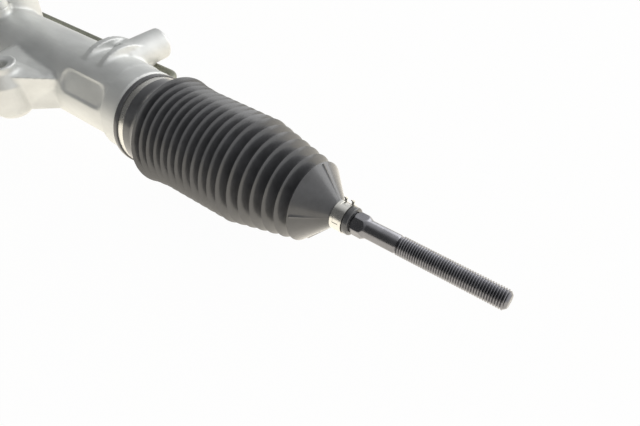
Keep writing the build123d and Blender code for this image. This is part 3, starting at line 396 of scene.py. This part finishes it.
def piece(name, shape, slot_name, half_turn=0.0, origin=RACK_LINE, crease=38.0):
    """Makes a mesh object from a shape, turned about Z for its side of the rack and put on its line."""
    move = Matrix.Translation(origin) @ Matrix.Rotation(half_turn, 4, "Z")
    mesh = bpy.data.meshes.new(name)
    mesh.from_pydata([move @ Vector(point) for point in shape[0]], [], shape[1])
    work = bmesh.new()
    work.from_mesh(mesh)
    bmesh.ops.remove_doubles(work, verts=work.verts, dist=2e-6)
    bmesh.ops.dissolve_degenerate(work, edges=work.edges, dist=1e-6)
    bmesh.ops.recalc_face_normals(work, faces=work.faces)
    work.to_mesh(mesh)
    work.free()
    mesh.shade_smooth()
    mesh.set_sharp_from_angle(angle=radians(crease))
    obj = bpy.data.objects.new(name, mesh)
    bpy.context.scene.collection.objects.link(obj)
    mesh.materials.append(finish_of(slot_name))
    return obj


def rounded(points, radius, steps=4):
    """Rounds the inner corners of an open profile with short arcs."""
    result = [points[0]]
    for before, corner, after in zip(points, points[1:], points[2:]):
        here = Vector(corner)
        back = Vector(before) - here
        ahead = Vector(after) - here
        reach = min(radius, back.length * 0.45, ahead.length * 0.45)
        start = here + back.normalized() * reach
        end = here + ahead.normalized() * reach
        for step in range(steps + 1):
            along = step / steps
            result.append(tuple(start.lerp(here, along).lerp(here.lerp(end, along), along)))
    result.append(points[-1])
    return result


# Castings

def mesh_through(obj, name):
    """The mesh that an object has after its modifiers, as a new mesh; the object goes."""
    bpy.context.scene.collection.objects.link(obj)
    bpy.context.view_layer.update()
    ready = obj.evaluated_get(bpy.context.evaluated_depsgraph_get())
    mesh = bpy.data.meshes.new_from_object(ready)
    mesh.name = name
    bpy.data.objects.remove(obj)
    return mesh


def inner_corners(mesh, rings):
    """The vertices in and near the mesh's hollow corners, where the neighbours lie well outside."""
    hollow_depth = 0.07 * MM
    work = bmesh.new()
    work.from_mesh(mesh)
    work.normal_update()
    near = set()
    for vertex in work.verts:
        around = [edge.other_vert(vertex).co for edge in vertex.link_edges]
        middle = sum(around, Vector()) / max(1, len(around))
        if (middle - vertex.co).dot(vertex.normal) > hollow_depth:
            near.add(vertex)
    for _ in range(rings):
        near |= {edge.other_vert(vertex) for vertex in near for edge in vertex.link_edges}
    found = [vertex.index for vertex in near]
    work.free()
    return found


def block(outline, far_outline):
    """A solid between two outlines of as many points, in millimetres from the rack's line."""
    count = len(outline)
    points = [(x * MM, y * MM, z * MM) for x, y, z in outline + far_outline]
    faces = [tuple(range(count)), tuple(range(count, 2 * count))]
    for at in range(count):
        after = (at + 1) % count
        faces.append((at, after, count + after, count + at))
    return points, faces


def ear_rib(middle, width):
    """One rib over the tube's crown, as a slice of a disc that lies behind the rack's line."""
    centre_y, centre_z, radius = 13.0, 5.1, 33.9
    crown_start, crown_turn, steps = 142, -120, 16
    outline = [(30.0, 12.0), (-8.0, 12.0)]
    for step in range(steps + 1):
        turn = radians(crown_start + crown_turn * step / steps)
        outline.append((centre_y + radius * cos(turn), centre_z + radius * sin(turn)))
    near, far = ([(middle + shift, y, z) for y, z in outline] for shift in (-width / 2, width / 2))
    return block(near, far)


def boss_root():
    """The part of the rear boss that runs down into the tube between the ribs."""
    boss_x, boss_z = 252 * MM, 24 * MM
    points, faces = turned([(2 * MM, 10 * MM), (26 * MM, 11.5 * MM)], 48)
    return [(boss_x - y, x, boss_z + z) for x, y, z in points], faces


def ear_forms():
    """What the mould adds to the right ears: fuller ribs, the boss's root, and the front post's web.

    The web's wall leans out to its upper edge and keeps clear of the bolt hole; its flank meets the tube.
    """
    rib_width = 6.0
    wall = block(
        (
            (199.5, -47, -8), (238, -12, -8), (165, -11, -8), (165, -38, -8), (183, -38, -8),
            (194, -38.5, -8), (199, -43, -8),
        ),
        (
            (199, -56, 24), (229, -19, 16.5), (165, -14, 25), (165, -38, 24.5), (183, -38, 24),
            (194, -38.5, 24), (199.5, -45, 24),
        ),
    )
    flank = block(
        ((204, -28, 8), (226, -10, 8), (174, -8, 8), (160, -8, 8), (160, -28, 8)),
        ((207, -38, 20), (226, -18, 20.5), (174, -10.5, 30), (160, -20, 23.8), (160, -36, 22)),
    )
    shapes = (ear_rib(239.5, rib_width), ear_rib(257.5, rib_width), boss_root(), wall, flank)
    return [([tuple(Vector(point) + RACK_LINE) for point in points], faces) for points, faces in shapes]


def lean_collar(points):
    """Moves the right collar behind the boot's seat half as far off the rack's line as the tube beside it."""
    start, end = boot_low.x - 19.4 * MM, boot_low.x - 1.2 * MM
    inner, outer = 30.05 * MM, 31.8 * MM
    lean = Vector((0, 1.5 * MM, 1.6 * MM))
    moved = []
    for point in points:
        across = (point - RACK_LINE).yz.length
        on_collar = start < point.x < end and inner < across < outer
        moved.append(point + lean if on_collar else point)
    return moved


def cast_skin(node_name, extras, name, grid, rounding):
    """A casting's solid and its extra forms as one skin, with filled and rounded inner corners."""
    work = bmesh.new()
    work.from_mesh(frame["nodes"][node_name].data)
    bmesh.ops.remove_doubles(work, verts=work.verts, dist=WELD)
    work.verts.index_update()
    skin = lean_collar([vertex.co.copy() for vertex in work.verts])
    patches = [tuple(vertex.index for vertex in face.verts) for face in work.faces]
    work.free()
    points, faces = joined((skin, patches), *extras)
    mesh = bpy.data.meshes.new(name)
    mesh.from_pydata(points, [], faces)
    obj = bpy.data.objects.new(name, mesh)
    remesh = obj.modifiers.new("Even grid", "REMESH")
    remesh.mode = "VOXEL"
    remesh.voxel_size = grid
    mesh = mesh_through(obj, name)
    obj = bpy.data.objects.new(name, mesh)
    obj.vertex_groups.new(name="corners").add(inner_corners(mesh, 3), 1.0, "REPLACE")
    whole_skin_rounds = 2
    for group, count in (("corners", rounding), ("", whole_skin_rounds)):
        soft = obj.modifiers.new("Soft corners", "SMOOTH")
        soft.factor = 0.5
        soft.iterations = count
        soft.vertex_group = group
    mesh = mesh_through(obj, name)
    mesh.shade_smooth()
    obj = bpy.data.objects.new(name, mesh)
    bpy.context.scene.collection.objects.link(obj)
    mesh.materials.append(finish_of("cast_aluminium"))
    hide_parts(node_name)
    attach(obj, "housing")


def make_castings(sizes):
    """The two end castings with the rounded inner corners that the mould gives them."""
    cast_skin("rack_housing", ear_forms(), "pinion_side_casting", sizes.right_casting_grid, 30)
    cast_skin("end_housing", [], "cylinder_side_casting", sizes.left_casting_grid, 24)


class STEERING_RACK_OT_castings(bpy.types.Operator):
    """Make the two end castings with rounded inner corners"""

    bl_idname = "steering_rack.castings"
    bl_label = "Make Castings"

    def execute(self, context):
        make_castings(context.scene.steering_rack_sizes)
        return {"FINISHED"}


# Boots

def crest(sizes, index):
    """Place and radius of one crest: slowly wider spacing, and a taper towards the cone."""
    share = index / (sizes.crest_count - 1)
    reach = sizes.neck_start - sizes.cone_length - sizes.first_crest
    x = sizes.first_crest + reach * (share + sizes.crest_spread * share * (share - 1))
    taper_start = sizes.crest_count - 1 - sizes.taper_crests
    taper = max(0, index - taper_start) * (sizes.crest_radius - sizes.last_crest_radius) / sizes.taper_crests
    swell = (sizes.first_crest_radius - sizes.crest_radius) / 2 ** index if index < 3 else 0
    return x, sizes.crest_radius + swell - taper


def fold(sizes, start, end, steps=12):
    """One convolution from crest to crest: straight flanks with a rounded crest and root."""
    sharpness = 0.97
    root = min(start[1], end[1]) - sizes.fold_depth
    rows = []
    for step in range(steps):
        along = step / steps
        wave = 0.5 + 0.5 * asin(sharpness * cos(tau * along)) / asin(sharpness)
        top = start[1] + (end[1] - start[1]) * along
        rows.append((start[0] + (end[0] - start[0]) * along, root + (top - root) * wave))
    return rows


def boot_outline(sizes):
    """The boot's outer profile from lip to bead."""
    low = boot_low.x
    groove = low + sizes.boot_lip_width
    groove_end = groove + sizes.band_width
    lip = rounded([
        (low, sizes.boot_seat_radius),
        (low, sizes.boot_lip_radius),
        (groove, sizes.boot_lip_radius),
        (groove, sizes.boot_groove_radius),
        (groove_end, sizes.boot_groove_radius),
        (groove_end, sizes.boot_collar_radius),
        (sizes.boot_collar_end - 2 * MM, sizes.boot_collar_radius),
        (sizes.boot_collar_end, sizes.boot_collar_radius + 0.4 * MM),
    ], 0.9 * MM)
    crests = [crest(sizes, index) for index in range(sizes.crest_count)]
    folds = [row for here, after in zip(crests, crests[1:]) for row in fold(sizes, here, after)]
    rise = (crests[0][0] - 2.2 * MM, crests[0][1] - 3.6 * MM)
    neck_end = boot_high.x - sizes.bead_length
    cone = rounded([
        crests[-1],
        (crests[-1][0] + 1.4 * MM, crests[-1][1] - 1.4 * MM),
        (sizes.neck_start, sizes.neck_radius + 0.2 * MM),
        (neck_end, sizes.neck_radius),
        (neck_end, sizes.bead_radius),
        (boot_high.x, sizes.bead_radius),
        (boot_high.x, sizes.shank_radius + 0.3 * MM),
    ], 1.0 * MM)
    return lip + [rise] + folds + cone


def boot_halves(sizes):
    """The profiles of the boot's inner and outer halves, and the place where they part."""
    outline = boot_outline(sizes)
    parting = crest(sizes, sizes.crest_count - 3)
    following = crest(sizes, sizes.crest_count - 2)
    parting_x = (parting[0] + following[0]) / 2
    inner = [row for row in outline if row[0] <= parting_x + 1e-6]
    outer = [row for row in outline if row[0] >= parting_x - 1e-6]
    return inner, outer, parting_x


def hollow(sizes, outline, low, high):
    """Closes an outer profile with the inner face of the wall."""
    limit = sizes.shank_radius + 0.3 * MM
    inside = [(x, max(limit, radius - sizes.wall)) for x, radius in reversed(outline) if low <= x <= high]
    return outline + inside


def cone_ribs(sizes, rows):
    """Adds the thin webs that run down the cone and stand higher towards the neck."""
    rib_turns = [radians(turn) for turn in (72, 168, 252, 348)]
    half_width, low_height, growth = 0.9 * MM, 0.9 * MM, 1.8 * MM
    cone_start = crest(sizes, sizes.crest_count - 1)[0] + 1 * MM
    ribbed = []
    for x, radius in rows:
        if cone_start < x < sizes.neck_start - 0.5 * MM and radius > sizes.neck_radius + 1 * MM:
            height = low_height + growth * (x - cone_start) / (sizes.neck_start - cone_start)

            def reach(angle, base=radius, height=height):
                offset = min(abs((angle - turn + pi) % tau - pi) for turn in rib_turns) * base
                return base + height * max(0.0, 1 - (offset / half_width) ** 2)
            ribbed.append((x, reach))
        else:
            ribbed.append((x, radius))
    return ribbed


def make_boots(sizes):
    """The two bellows, each in two lengths."""
    inner, outer, parting_x = boot_halves(sizes)
    segments = 144
    for side, sign, half_turn in SIDES:
        sleeve = turned(hollow(sizes, inner, boot_low.x + 12 * MM, parting_x), segments, closed=True)
        first = piece(side + "_boot_folds", sleeve, "black_rubber", half_turn)
        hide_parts(side + "_boot")
        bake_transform(first)
        cone = cone_ribs(sizes, hollow(sizes, outer, parting_x, sizes.neck_start))
        second = piece(side + "_boot_cone", turned(cone, segments, closed=True), "black_rubber", half_turn)
        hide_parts(side + "_boot")
        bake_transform(second)


class STEERING_RACK_OT_boots(bpy.types.Operator):
    """Make the rubber bellows over both ends of the rack"""

    bl_idname = "steering_rack.boots"
    bl_label = "Make Boots"

    def execute(self, context):
        make_boots(context.scene.steering_rack_sizes)
        return {"FINISHED"}


# Bands and clips

def strip(path, width, thickness):
    """A bent strip of sheet metal along X: the path gives its (y, z) points, thickness goes inwards."""
    points, faces = [], []
    count = len(path)
    for index, point in enumerate(path):
        before = Vector(path[max(0, index - 1)])
        after = Vector(path[min(count - 1, index + 1)])
        along = (after - before).normalized()
        inward = Vector((-along.y, along.x)) * thickness
        for depth in (Vector((0, 0)), inward):
            y, z = Vector(point) + depth
            points.append((-width / 2, y, z))
            points.append((width / 2, y, z))
    for index in range(count - 1):
        here, beyond = index * 4, index * 4 + 4
        faces.append((here, here + 1, beyond + 1, beyond))
        faces.append((here + 2, beyond + 2, beyond + 3, here + 3))
        faces.append((here, beyond, beyond + 2, here + 2))
        faces.append((here + 1, here + 3, beyond + 3, beyond + 1))
    faces.append((0, 2, 3, 1))
    end = (count - 1) * 4
    faces.append((end, end + 1, end + 3, end + 2))
    return points, faces


def hoop_path(radius, start, end, steps):
    """Points of an arc in the (y, z) plane between two angles in degrees."""
    turns = [radians(start + (end - start) * step / steps) for step in range(steps + 1)]
    return [(radius * cos(turn), radius * sin(turn)) for turn in turns]


def make_boot_bands(sizes):
    """The crimped steel bands: a hoop with an overlap and one pinched ear."""
    outer = sizes.boot_groove_radius + sizes.band_thickness
    ear_turn = radians(-100)
    ear_half = 7.0
    width = sizes.band_width - 0.4 * MM
    hoop = strip(hoop_path(outer, ear_half, 360 - ear_half, 120), width, sizes.band_thickness)
    ear_sink = 0.996
    foot = outer * radians(ear_half)
    ear_height = 3.4 * MM
    ear = rounded([
        (-foot * 1.3, 0), (-foot * 0.85, 0), (-foot * 0.62, ear_height), (foot * 0.62, ear_height),
        (foot * 0.85, 0), (foot * 1.3, 0),
    ], 1.2 * MM)
    across = [(outer * ear_sink + rise, -along) for along, rise in ear]
    ear_strip = strip(across, width * 0.99, -sizes.band_thickness)
    middle = boot_low.x + sizes.boot_lip_width + sizes.band_width / 2
    for side, _, half_turn in SIDES:
        shape = placed(joined(hoop, ear_strip), ear_turn, (middle, 0, 0))
        obj = piece(side + "_band", shape, "zinc_plated_steel", half_turn)
        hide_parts(side + "_boot_band")
        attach(obj, "housing")


def make_neck_clips(sizes):
    """The spring clips on the boots' necks: a hoop with sunk panels and two upright prongs."""
    window_turns = (20, 95, 170, 245)
    window_step = 75
    half_window = 19
    panel_width = sizes.clip_width * 0.6
    panel_sink = 0.3 * MM
    outer = sizes.clip_radius + sizes.clip_thickness
    rim = sizes.clip_width * 0.24
    sunk_hoop = hoop_path(outer - panel_sink, 0, 360, 96)
    shapes = [strip(sunk_hoop, panel_width, sizes.clip_thickness - panel_sink)]
    for edge in (-1, 1):
        hoop = strip(hoop_path(outer, 0, 360, 96), rim, sizes.clip_thickness)
        shapes.append(placed(hoop, 0, (edge * (sizes.clip_width - rim) / 2, 0, 0)))
    for turn in window_turns:
        bridge = hoop_path(outer, turn + half_window, turn + window_step - half_window, 10)
        shapes.append(strip(bridge, panel_width, sizes.clip_thickness))
    prong = rounded([
        (outer - 0.6 * MM, -2.4 * MM), (outer + 0.3 * MM, -1.2 * MM), (outer + 2.4 * MM, -1.0 * MM),
        (outer + 2.4 * MM, 1.4 * MM),
    ], 0.6 * MM)
    for offset in (-0.32, 0.32):
        shapes.append(placed(strip(prong, 1.6 * MM, 0.6 * MM), 0, (offset * sizes.clip_width, 0, 0)))
    clip_low, clip_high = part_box("right_neck_clip")
    place = (clip_low.x + clip_high.x) / 2
    prong_turn = radians(60)
    for side, _, half_turn in SIDES:
        shape = placed(joined(*shapes), prong_turn, (place, 0, 0))
        obj = piece(side + "_clip", shape, "zinc_plated_steel", half_turn)
        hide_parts(side + "_neck_clip")
        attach(obj, side + "_tie_rod")


class STEERING_RACK_OT_bands(bpy.types.Operator):
    """Make the steel bands and the neck clips that hold the boots"""

    bl_idname = "steering_rack.bands"
    bl_label = "Make Bands and Clips"

    def execute(self, context):
        sizes = context.scene.steering_rack_sizes
        make_boot_bands(sizes)
        make_neck_clips(sizes)
        return {"FINISHED"}


# Tie rods

def threaded(sizes, start, end, segments):
    """A helical thread whose mesh runs along the helix, flattened to the waist at its ends."""
    rows_per_turn = 6
    depth = THREAD_DEPTH * sizes.thread_pitch
    run_out_length = 0.6 * sizes.thread_pitch
    step = sizes.thread_pitch / rows_per_turn
    crest_rows = {0: 1.0, 1: 0.9, 2: 0.25, 3: 0.0, 4: 0.25, 5: 0.9}
    count = int((end - start) / step) + 2 * rows_per_turn + 1
    points = []
    for row in range(count):
        for column in range(segments):
            x = start + (row - rows_per_turn + rows_per_turn * column / segments) * step
            x = min(max(x, start), end)
            run_out = min(1.0, (x - start) / run_out_length)
            radius = sizes.thread_radius - depth * (1 - crest_rows[row % rows_per_turn] * run_out)
            limit = sizes.thread_radius - max(0.0, sizes.end_chamfer - (end - x))
            angle = tau * column / segments
            reach = min(radius, limit)
            if x == end:
                reach = sizes.thread_radius - sizes.end_chamfer
            if x == start:
                reach = sizes.thread_radius - depth
            points.append((x, reach * cos(angle), reach * sin(angle)))
    faces = []
    for row in range(count - 1):
        for column in range(segments):
            if column < segments - 1:
                beside, above = row * segments + column + 1, (row + 1) * segments + column + 1
            elif row + 1 + rows_per_turn < count:
                beside, above = (row + rows_per_turn) * segments, (row + 1 + rows_per_turn) * segments
            else:
                continue
            faces.append((row * segments + column, beside, above, (row + 1) * segments + column))
    return points, faces


def end_disc(x, radius, segments):
    """A flat disc that closes a turned shape."""
    turns = [tau * column / segments for column in range(segments)]
    return [(x, radius * cos(turn), radius * sin(turn)) for turn in turns], [tuple(range(segments))]


def hexagon_reach(flats, limit):
    """The radius of a hexagon's outline at an angle, kept under a limit."""
    first_flat = radians(21.6)

    def reach(angle):
        local = (angle - first_flat + pi / 6) % (pi / 3) - pi / 6
        return min(flats / 2 / cos(local), limit)
    return reach


def rod_rows(sizes, ball_x, thread_start):
    """Profile of the tie rod from its ball to the start of the thread."""
    waist_start = thread_start - sizes.waist_length
    hexagon_start = waist_start - sizes.hexagon_length
    neck_radius = 6.0 * MM
    pole_radius = 0.3 * MM
    ball_end = (sizes.ball_radius ** 2 - neck_radius ** 2) ** 0.5
    ball_steps = 24
    rows = []
    for step in range(ball_steps + 1):
        x = -sizes.ball_radius + (ball_end + sizes.ball_radius) * step / ball_steps
        rows.append((ball_x + x, max(pole_radius, max(0.0, sizes.ball_radius ** 2 - x * x) ** 0.5)))
    rows += [
        (ball_x + 22 * MM, neck_radius + 0.8 * MM),
        (ball_x + 36 * MM, sizes.shank_radius),
        (hexagon_start - 0.01 * MM, sizes.shank_radius),
    ]
    inside_flats = sizes.hexagon_flats / 2 - 0.3 * MM
    past_corners = sizes.hexagon_flats / 2 / cos(pi / 6) + 0.1 * MM
    shoulder = 1.6 * MM
    run_out = 3.4 * MM
    steps = 8
    for step in range(steps + 1):
        share = step / steps
        limit = inside_flats + (past_corners - inside_flats) * share
        rows.append((hexagon_start + shoulder * share, hexagon_reach(sizes.hexagon_flats, limit)))
    for step in range(steps + 1):
        share = step / steps
        limit = past_corners - (past_corners - sizes.waist_radius) * share
        rows.append((waist_start - run_out * (1 - share), hexagon_reach(sizes.hexagon_flats, limit)))
    rows.append((thread_start - 1.0 * MM, sizes.waist_radius))
    rows.append((thread_start, sizes.thread_radius - THREAD_DEPTH * sizes.thread_pitch))
    return rows


def make_tie_rods(sizes):
    """The two tie rods with their hexagons and cut threads."""
    segments = 96
    ball_x = rod_low.x + sizes.ball_radius
    thread_start = rod_high.x - sizes.thread_length
    body = turned(rod_rows(sizes, ball_x, thread_start), segments)
    body[1].pop()
    thread = threaded(sizes, thread_start, rod_high.x, segments)
    tip = end_disc(rod_high.x, sizes.thread_radius - sizes.end_chamfer, segments)
    for side, _, half_turn in SIDES:
        obj = piece(side + "_rod", joined(body, thread, tip), "phosphated_steel", half_turn, crease=50.0)
        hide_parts(side + "_tie_rod")
        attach(obj, side + "_tie_rod")


class STEERING_RACK_OT_tie_rods(bpy.types.Operator):
    """Make the tie rods with their spanner hexagons and threads"""

    bl_idname = "steering_rack.tie_rods"
    bl_label = "Make Tie Rods"

    def execute(self, context):
        make_tie_rods(context.scene.steering_rack_sizes)
        return {"FINISHED"}


# Input shaft

def make_input_shaft(sizes):
    """The valve's shaft with its serrated stub."""
    low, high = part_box("input_shaft")
    centre = Vector(((low.x + high.x) / 2, (low.y + high.y) / 2, 0))
    body_radius = (high.x - low.x) / 2
    stub_start = high.z - sizes.spline_length
    columns = sizes.spline_count * 4

    def serrated(limit):
        def reach(angle):
            wave = abs((angle * sizes.spline_count / tau) % 1 - 0.5) * 2
            cut = sizes.spline_depth * min(1.0, 1.5 * wave)
            return min(limit, sizes.spline_radius - cut)
        return reach

    rows = [
        (low.z, body_radius * 0.6),
        (low.z, body_radius),
        (stub_start - 1 * MM, body_radius),
        (stub_start, body_radius - 1 * MM),
        (stub_start + 2 * MM, sizes.spline_radius - sizes.spline_depth),
        (stub_start + 3 * MM, serrated(sizes.spline_radius)),
        (high.z - 1.2 * MM, serrated(sizes.spline_radius)),
        (high.z, serrated(sizes.spline_radius - 1.2 * MM)),
    ]
    points, faces = turned(rows, columns)
    upright = Matrix.Rotation(-pi / 2, 4, "Y")
    points = [tuple(upright @ Vector(point)) for point in points]
    obj = piece("splined_shaft", (points, faces), "machined_steel", origin=centre)
    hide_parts("input_shaft")
    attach(obj, "input_shaft")


class STEERING_RACK_OT_input_shaft(bpy.types.Operator):
    """Make the input shaft with its splines"""

    bl_idname = "steering_rack.input_shaft"
    bl_label = "Make Input Shaft"

    def execute(self, context):
        make_input_shaft(context.scene.steering_rack_sizes)
        return {"FINISHED"}


# Solids that keep their shape

PIPES = ("breather_pipe", "inner_hydraulic_line", "outer_hydraulic_line")


class STEERING_RACK_OT_finishes(bpy.types.Operator):
    """Give every solid its finish, and smooth the light over its curved faces"""

    bl_idname = "steering_rack.finishes"
    bl_label = "Finish Solids"

    def execute(self, context):
        slots = {entry["node"]: entry["material_slot"] for entry in frame["record"]["subparts"]}
        for name, obj in frame["nodes"].items():
            obj.data.materials.clear()
            obj.data.materials.append(finish_of("pipes" if name in PIPES else slots[name]))
            obj.data.shade_smooth()
            obj.data.set_sharp_from_angle(angle=radians(30))
        return {"FINISHED"}


# Studio

FLOOR_GAP = 0.5 * MM


def ray_kinds(owner):
    """One for rays straight from the camera, and one for rays by way of a shiny or clear surface."""
    rays = add(owner, "ShaderNodeLightPath")
    kinds = ("Camera", "Glossy", "Transmission")
    direct, mirrored, clear = (rays.outputs["Is " + kind + " Ray"] for kind in kinds)
    return direct, add(owner, "ShaderNodeMath", {0: mirrored, 1: clear}, operation="MAXIMUM").outputs[0]


def white_to_camera(material, shader, warmth, share):
    """Shows the floor white to the camera and pale in reflections, and keeps part of the shadow."""
    direct, shiny = ray_kinds(material)
    seen = add(material, "ShaderNodeMath", {0: direct, 1: shiny}, operation="MAXIMUM")
    amount = add(material, "ShaderNodeMath", {0: seen.outputs[0]}, operation="MULTIPLY")
    amount.inputs[1].default_value = share
    tone = add(material, "ShaderNodeMixRGB", {"Fac": direct}, Color1=(*warmth, 1), Color2=(1, 1, 1, 1))
    glow = add(material, "ShaderNodeEmission", {"Color": tone.outputs["Color"]}, Strength=1.0)
    mix = add(material, "ShaderNodeMixShader", {
        0: amount.outputs[0], 1: shader.outputs["BSDF"], 2: glow.outputs["Emission"],
    })
    output = material.node_tree.nodes["Material Output"]
    material.node_tree.links.new(mix.outputs["Shader"], output.inputs["Surface"])


def make_floor(colours):
    """A wide white floor just under the rack."""
    reach = 6.0
    mesh = bpy.data.meshes.new("studio_floor")
    level = cad_box[0].z - FLOOR_GAP
    corners = [(-reach, -reach, level), (reach, -reach, level), (reach, reach, level), (-reach, reach, level)]
    mesh.from_pydata(corners, [], [(0, 1, 2, 3)])
    floor = bpy.data.objects.new("studio_floor", mesh)
    bpy.context.scene.collection.objects.link(floor)
    paper, shader = surface("matte_white_paper", Roughness=0.9)
    tooth = grain(paper, 2, 2).outputs["Fac"]
    tone = shades(paper, tooth, tint(colours.floor, 0.99), list(colours.floor))
    paper.node_tree.links.new(tone, shader.inputs["Base Color"])
    white_to_camera(paper, shader, colours.floor, 0.97)
    mesh.materials.append(paper)


def make_world():
    """An even cool ambience; shiny pieces see a room, white behind and right, dim in front and above."""
    world = bpy.data.worlds.new("studio")
    bpy.context.scene.world = world
    world.use_nodes = True
    world.node_tree.nodes.clear()
    direct, shiny = ray_kinds(world)
    place = add(world, "ShaderNodeTexCoord")
    lean = add(world, "ShaderNodeVectorMath", {0: place.outputs["Generated"]})
    lean.operation = "DOT_PRODUCT"
    lean.inputs[1].default_value = (0.5, 0.85, -0.35)
    depth = add(
        world, "ShaderNodeMapRange", {"Value": lean.outputs["Value"]},
        From_Min=-0.65, From_Max=0.6, To_Min=0.12, To_Max=1.0,
    )
    ambience = add(world, "ShaderNodeBackground", Color=(0.93, 0.97, 1.0, 1), Strength=0.55)
    room = add(world, "ShaderNodeBackground", {"Strength": depth.outputs["Result"]}, Color=(1, 1, 1, 1))
    white = add(world, "ShaderNodeBackground", Color=(1, 1, 1, 1), Strength=1.0)
    lit = add(world, "ShaderNodeMixShader", {0: shiny, 1: ambience.outputs[0], 2: room.outputs[0]})
    seen = add(world, "ShaderNodeMixShader", {0: direct, 1: lit.outputs[0], 2: white.outputs[0]})
    add(world, "ShaderNodeOutputWorld", {"Surface": seen.outputs[0]})


def add_lamp(name, place, aim, width, watts, tone=(1, 1, 1)):
    """A square softbox at a place, aimed at a point."""
    data = bpy.data.lights.new(name, "AREA")
    data.shape = "SQUARE"
    data.size = width
    data.energy = watts
    data.color = tone
    lamp = bpy.data.objects.new(name, data)
    lamp.location = place
    lamp.rotation_mode = "QUATERNION"
    lamp.rotation_quaternion = (Vector(aim) - Vector(place)).to_track_quat("-Z", "Y")
    bpy.context.scene.collection.objects.link(lamp)
    return lamp


def make_camera():
    """The camera of the photograph, found from the rod's line and the boot's rings."""
    data = bpy.data.cameras.new("camera")
    data.sensor_width = 36.0
    data.lens = 33.92
    data.clip_start = 0.01
    data.clip_end = 100
    camera = bpy.data.objects.new("camera", data)
    camera.location = Vector((626.8, -171.3, 251.8)) * MM
    gaze = Vector((-0.46357, 0.58858, -0.66233))
    camera.rotation_mode = "QUATERNION"
    camera.rotation_quaternion = gaze.to_track_quat("-Z", "Y")
    bpy.context.scene.collection.objects.link(camera)
    bpy.context.scene.camera = camera


class STEERING_RACK_OT_stage(bpy.types.Operator):
    """Set up the white studio: floor, ambience, softboxes, light table and camera"""

    bl_idname = "steering_rack.stage"
    bl_label = "Set Up Studio"

    def execute(self, context):
        make_floor(context.scene.steering_rack_colours)
        make_world()
        middle = (0.3, 0.05, 0.0)
        add_lamp("overhead_softbox", (0.2, 0.5, 1.6), middle, 1.6, 2)
        add_lamp("rear_softbox", (0.9, 1.5, 0.7), middle, 1.4, 10)
        front = add_lamp("front_softbox", (0.9, -1.4, 0.9), middle, 1.0, 3)
        front.visible_glossy = False
        under, above = (middle[0], middle[1], cad_box[0].z - FLOOR_GAP / 2), (middle[0], middle[1], 1.0)
        light_table = add_lamp("light_table", under, above, 1.6, 3.5, (1, 0.93, 0.82))
        light_table.visible_camera = False
        make_camera()
        context.scene.view_settings.view_transform = "Standard"
        return {"FINISHED"}


class STEERING_RACK_PT_panel(bpy.types.Panel):
    """The steering rack's buttons in the 3D view's sidebar"""

    bl_idname = "STEERING_RACK_PT_panel"
    bl_label = "Steering Rack"
    bl_space_type = "VIEW_3D"
    bl_region_type = "UI"
    bl_category = "Steering Rack"

    def draw(self, context):
        for operator in OPERATORS:
            self.layout.operator(operator.bl_idname)
        for group in (context.scene.steering_rack_sizes, context.scene.steering_rack_colours):
            box = self.layout.box()
            for name in group.__annotations__:
                box.prop(group, name)


OPERATORS = (
    STEERING_RACK_OT_finishes,
    STEERING_RACK_OT_castings,
    STEERING_RACK_OT_boots,
    STEERING_RACK_OT_bands,
    STEERING_RACK_OT_tie_rods,
    STEERING_RACK_OT_input_shaft,
    STEERING_RACK_OT_stage,
)
CLASSES = (SteeringRackSizes, SteeringRackColours, *OPERATORS, STEERING_RACK_PT_panel)


def register():
    """Registers the classes and the two groups of settings."""
    for entry in CLASSES:
        bpy.utils.register_class(entry)
    bpy.types.Scene.steering_rack_sizes = bpy.props.PointerProperty(type=SteeringRackSizes)
    bpy.types.Scene.steering_rack_colours = bpy.props.PointerProperty(type=SteeringRackColours)


def unregister():
    """Takes the settings and classes away again."""
    del bpy.types.Scene.steering_rack_colours
    del bpy.types.Scene.steering_rack_sizes
    for entry in reversed(CLASSES):
        bpy.utils.unregister_class(entry)


def main():
    """Builds the dressed rack and its studio."""
    register()
    bpy.ops.steering_rack.finishes()
    bpy.ops.steering_rack.castings()
    bpy.ops.steering_rack.boots()
    bpy.ops.steering_rack.bands()
    bpy.ops.steering_rack.tie_rods()
    bpy.ops.steering_rack.input_shaft()
    bpy.ops.steering_rack.stage()


if __name__ == "__main__":
    main()
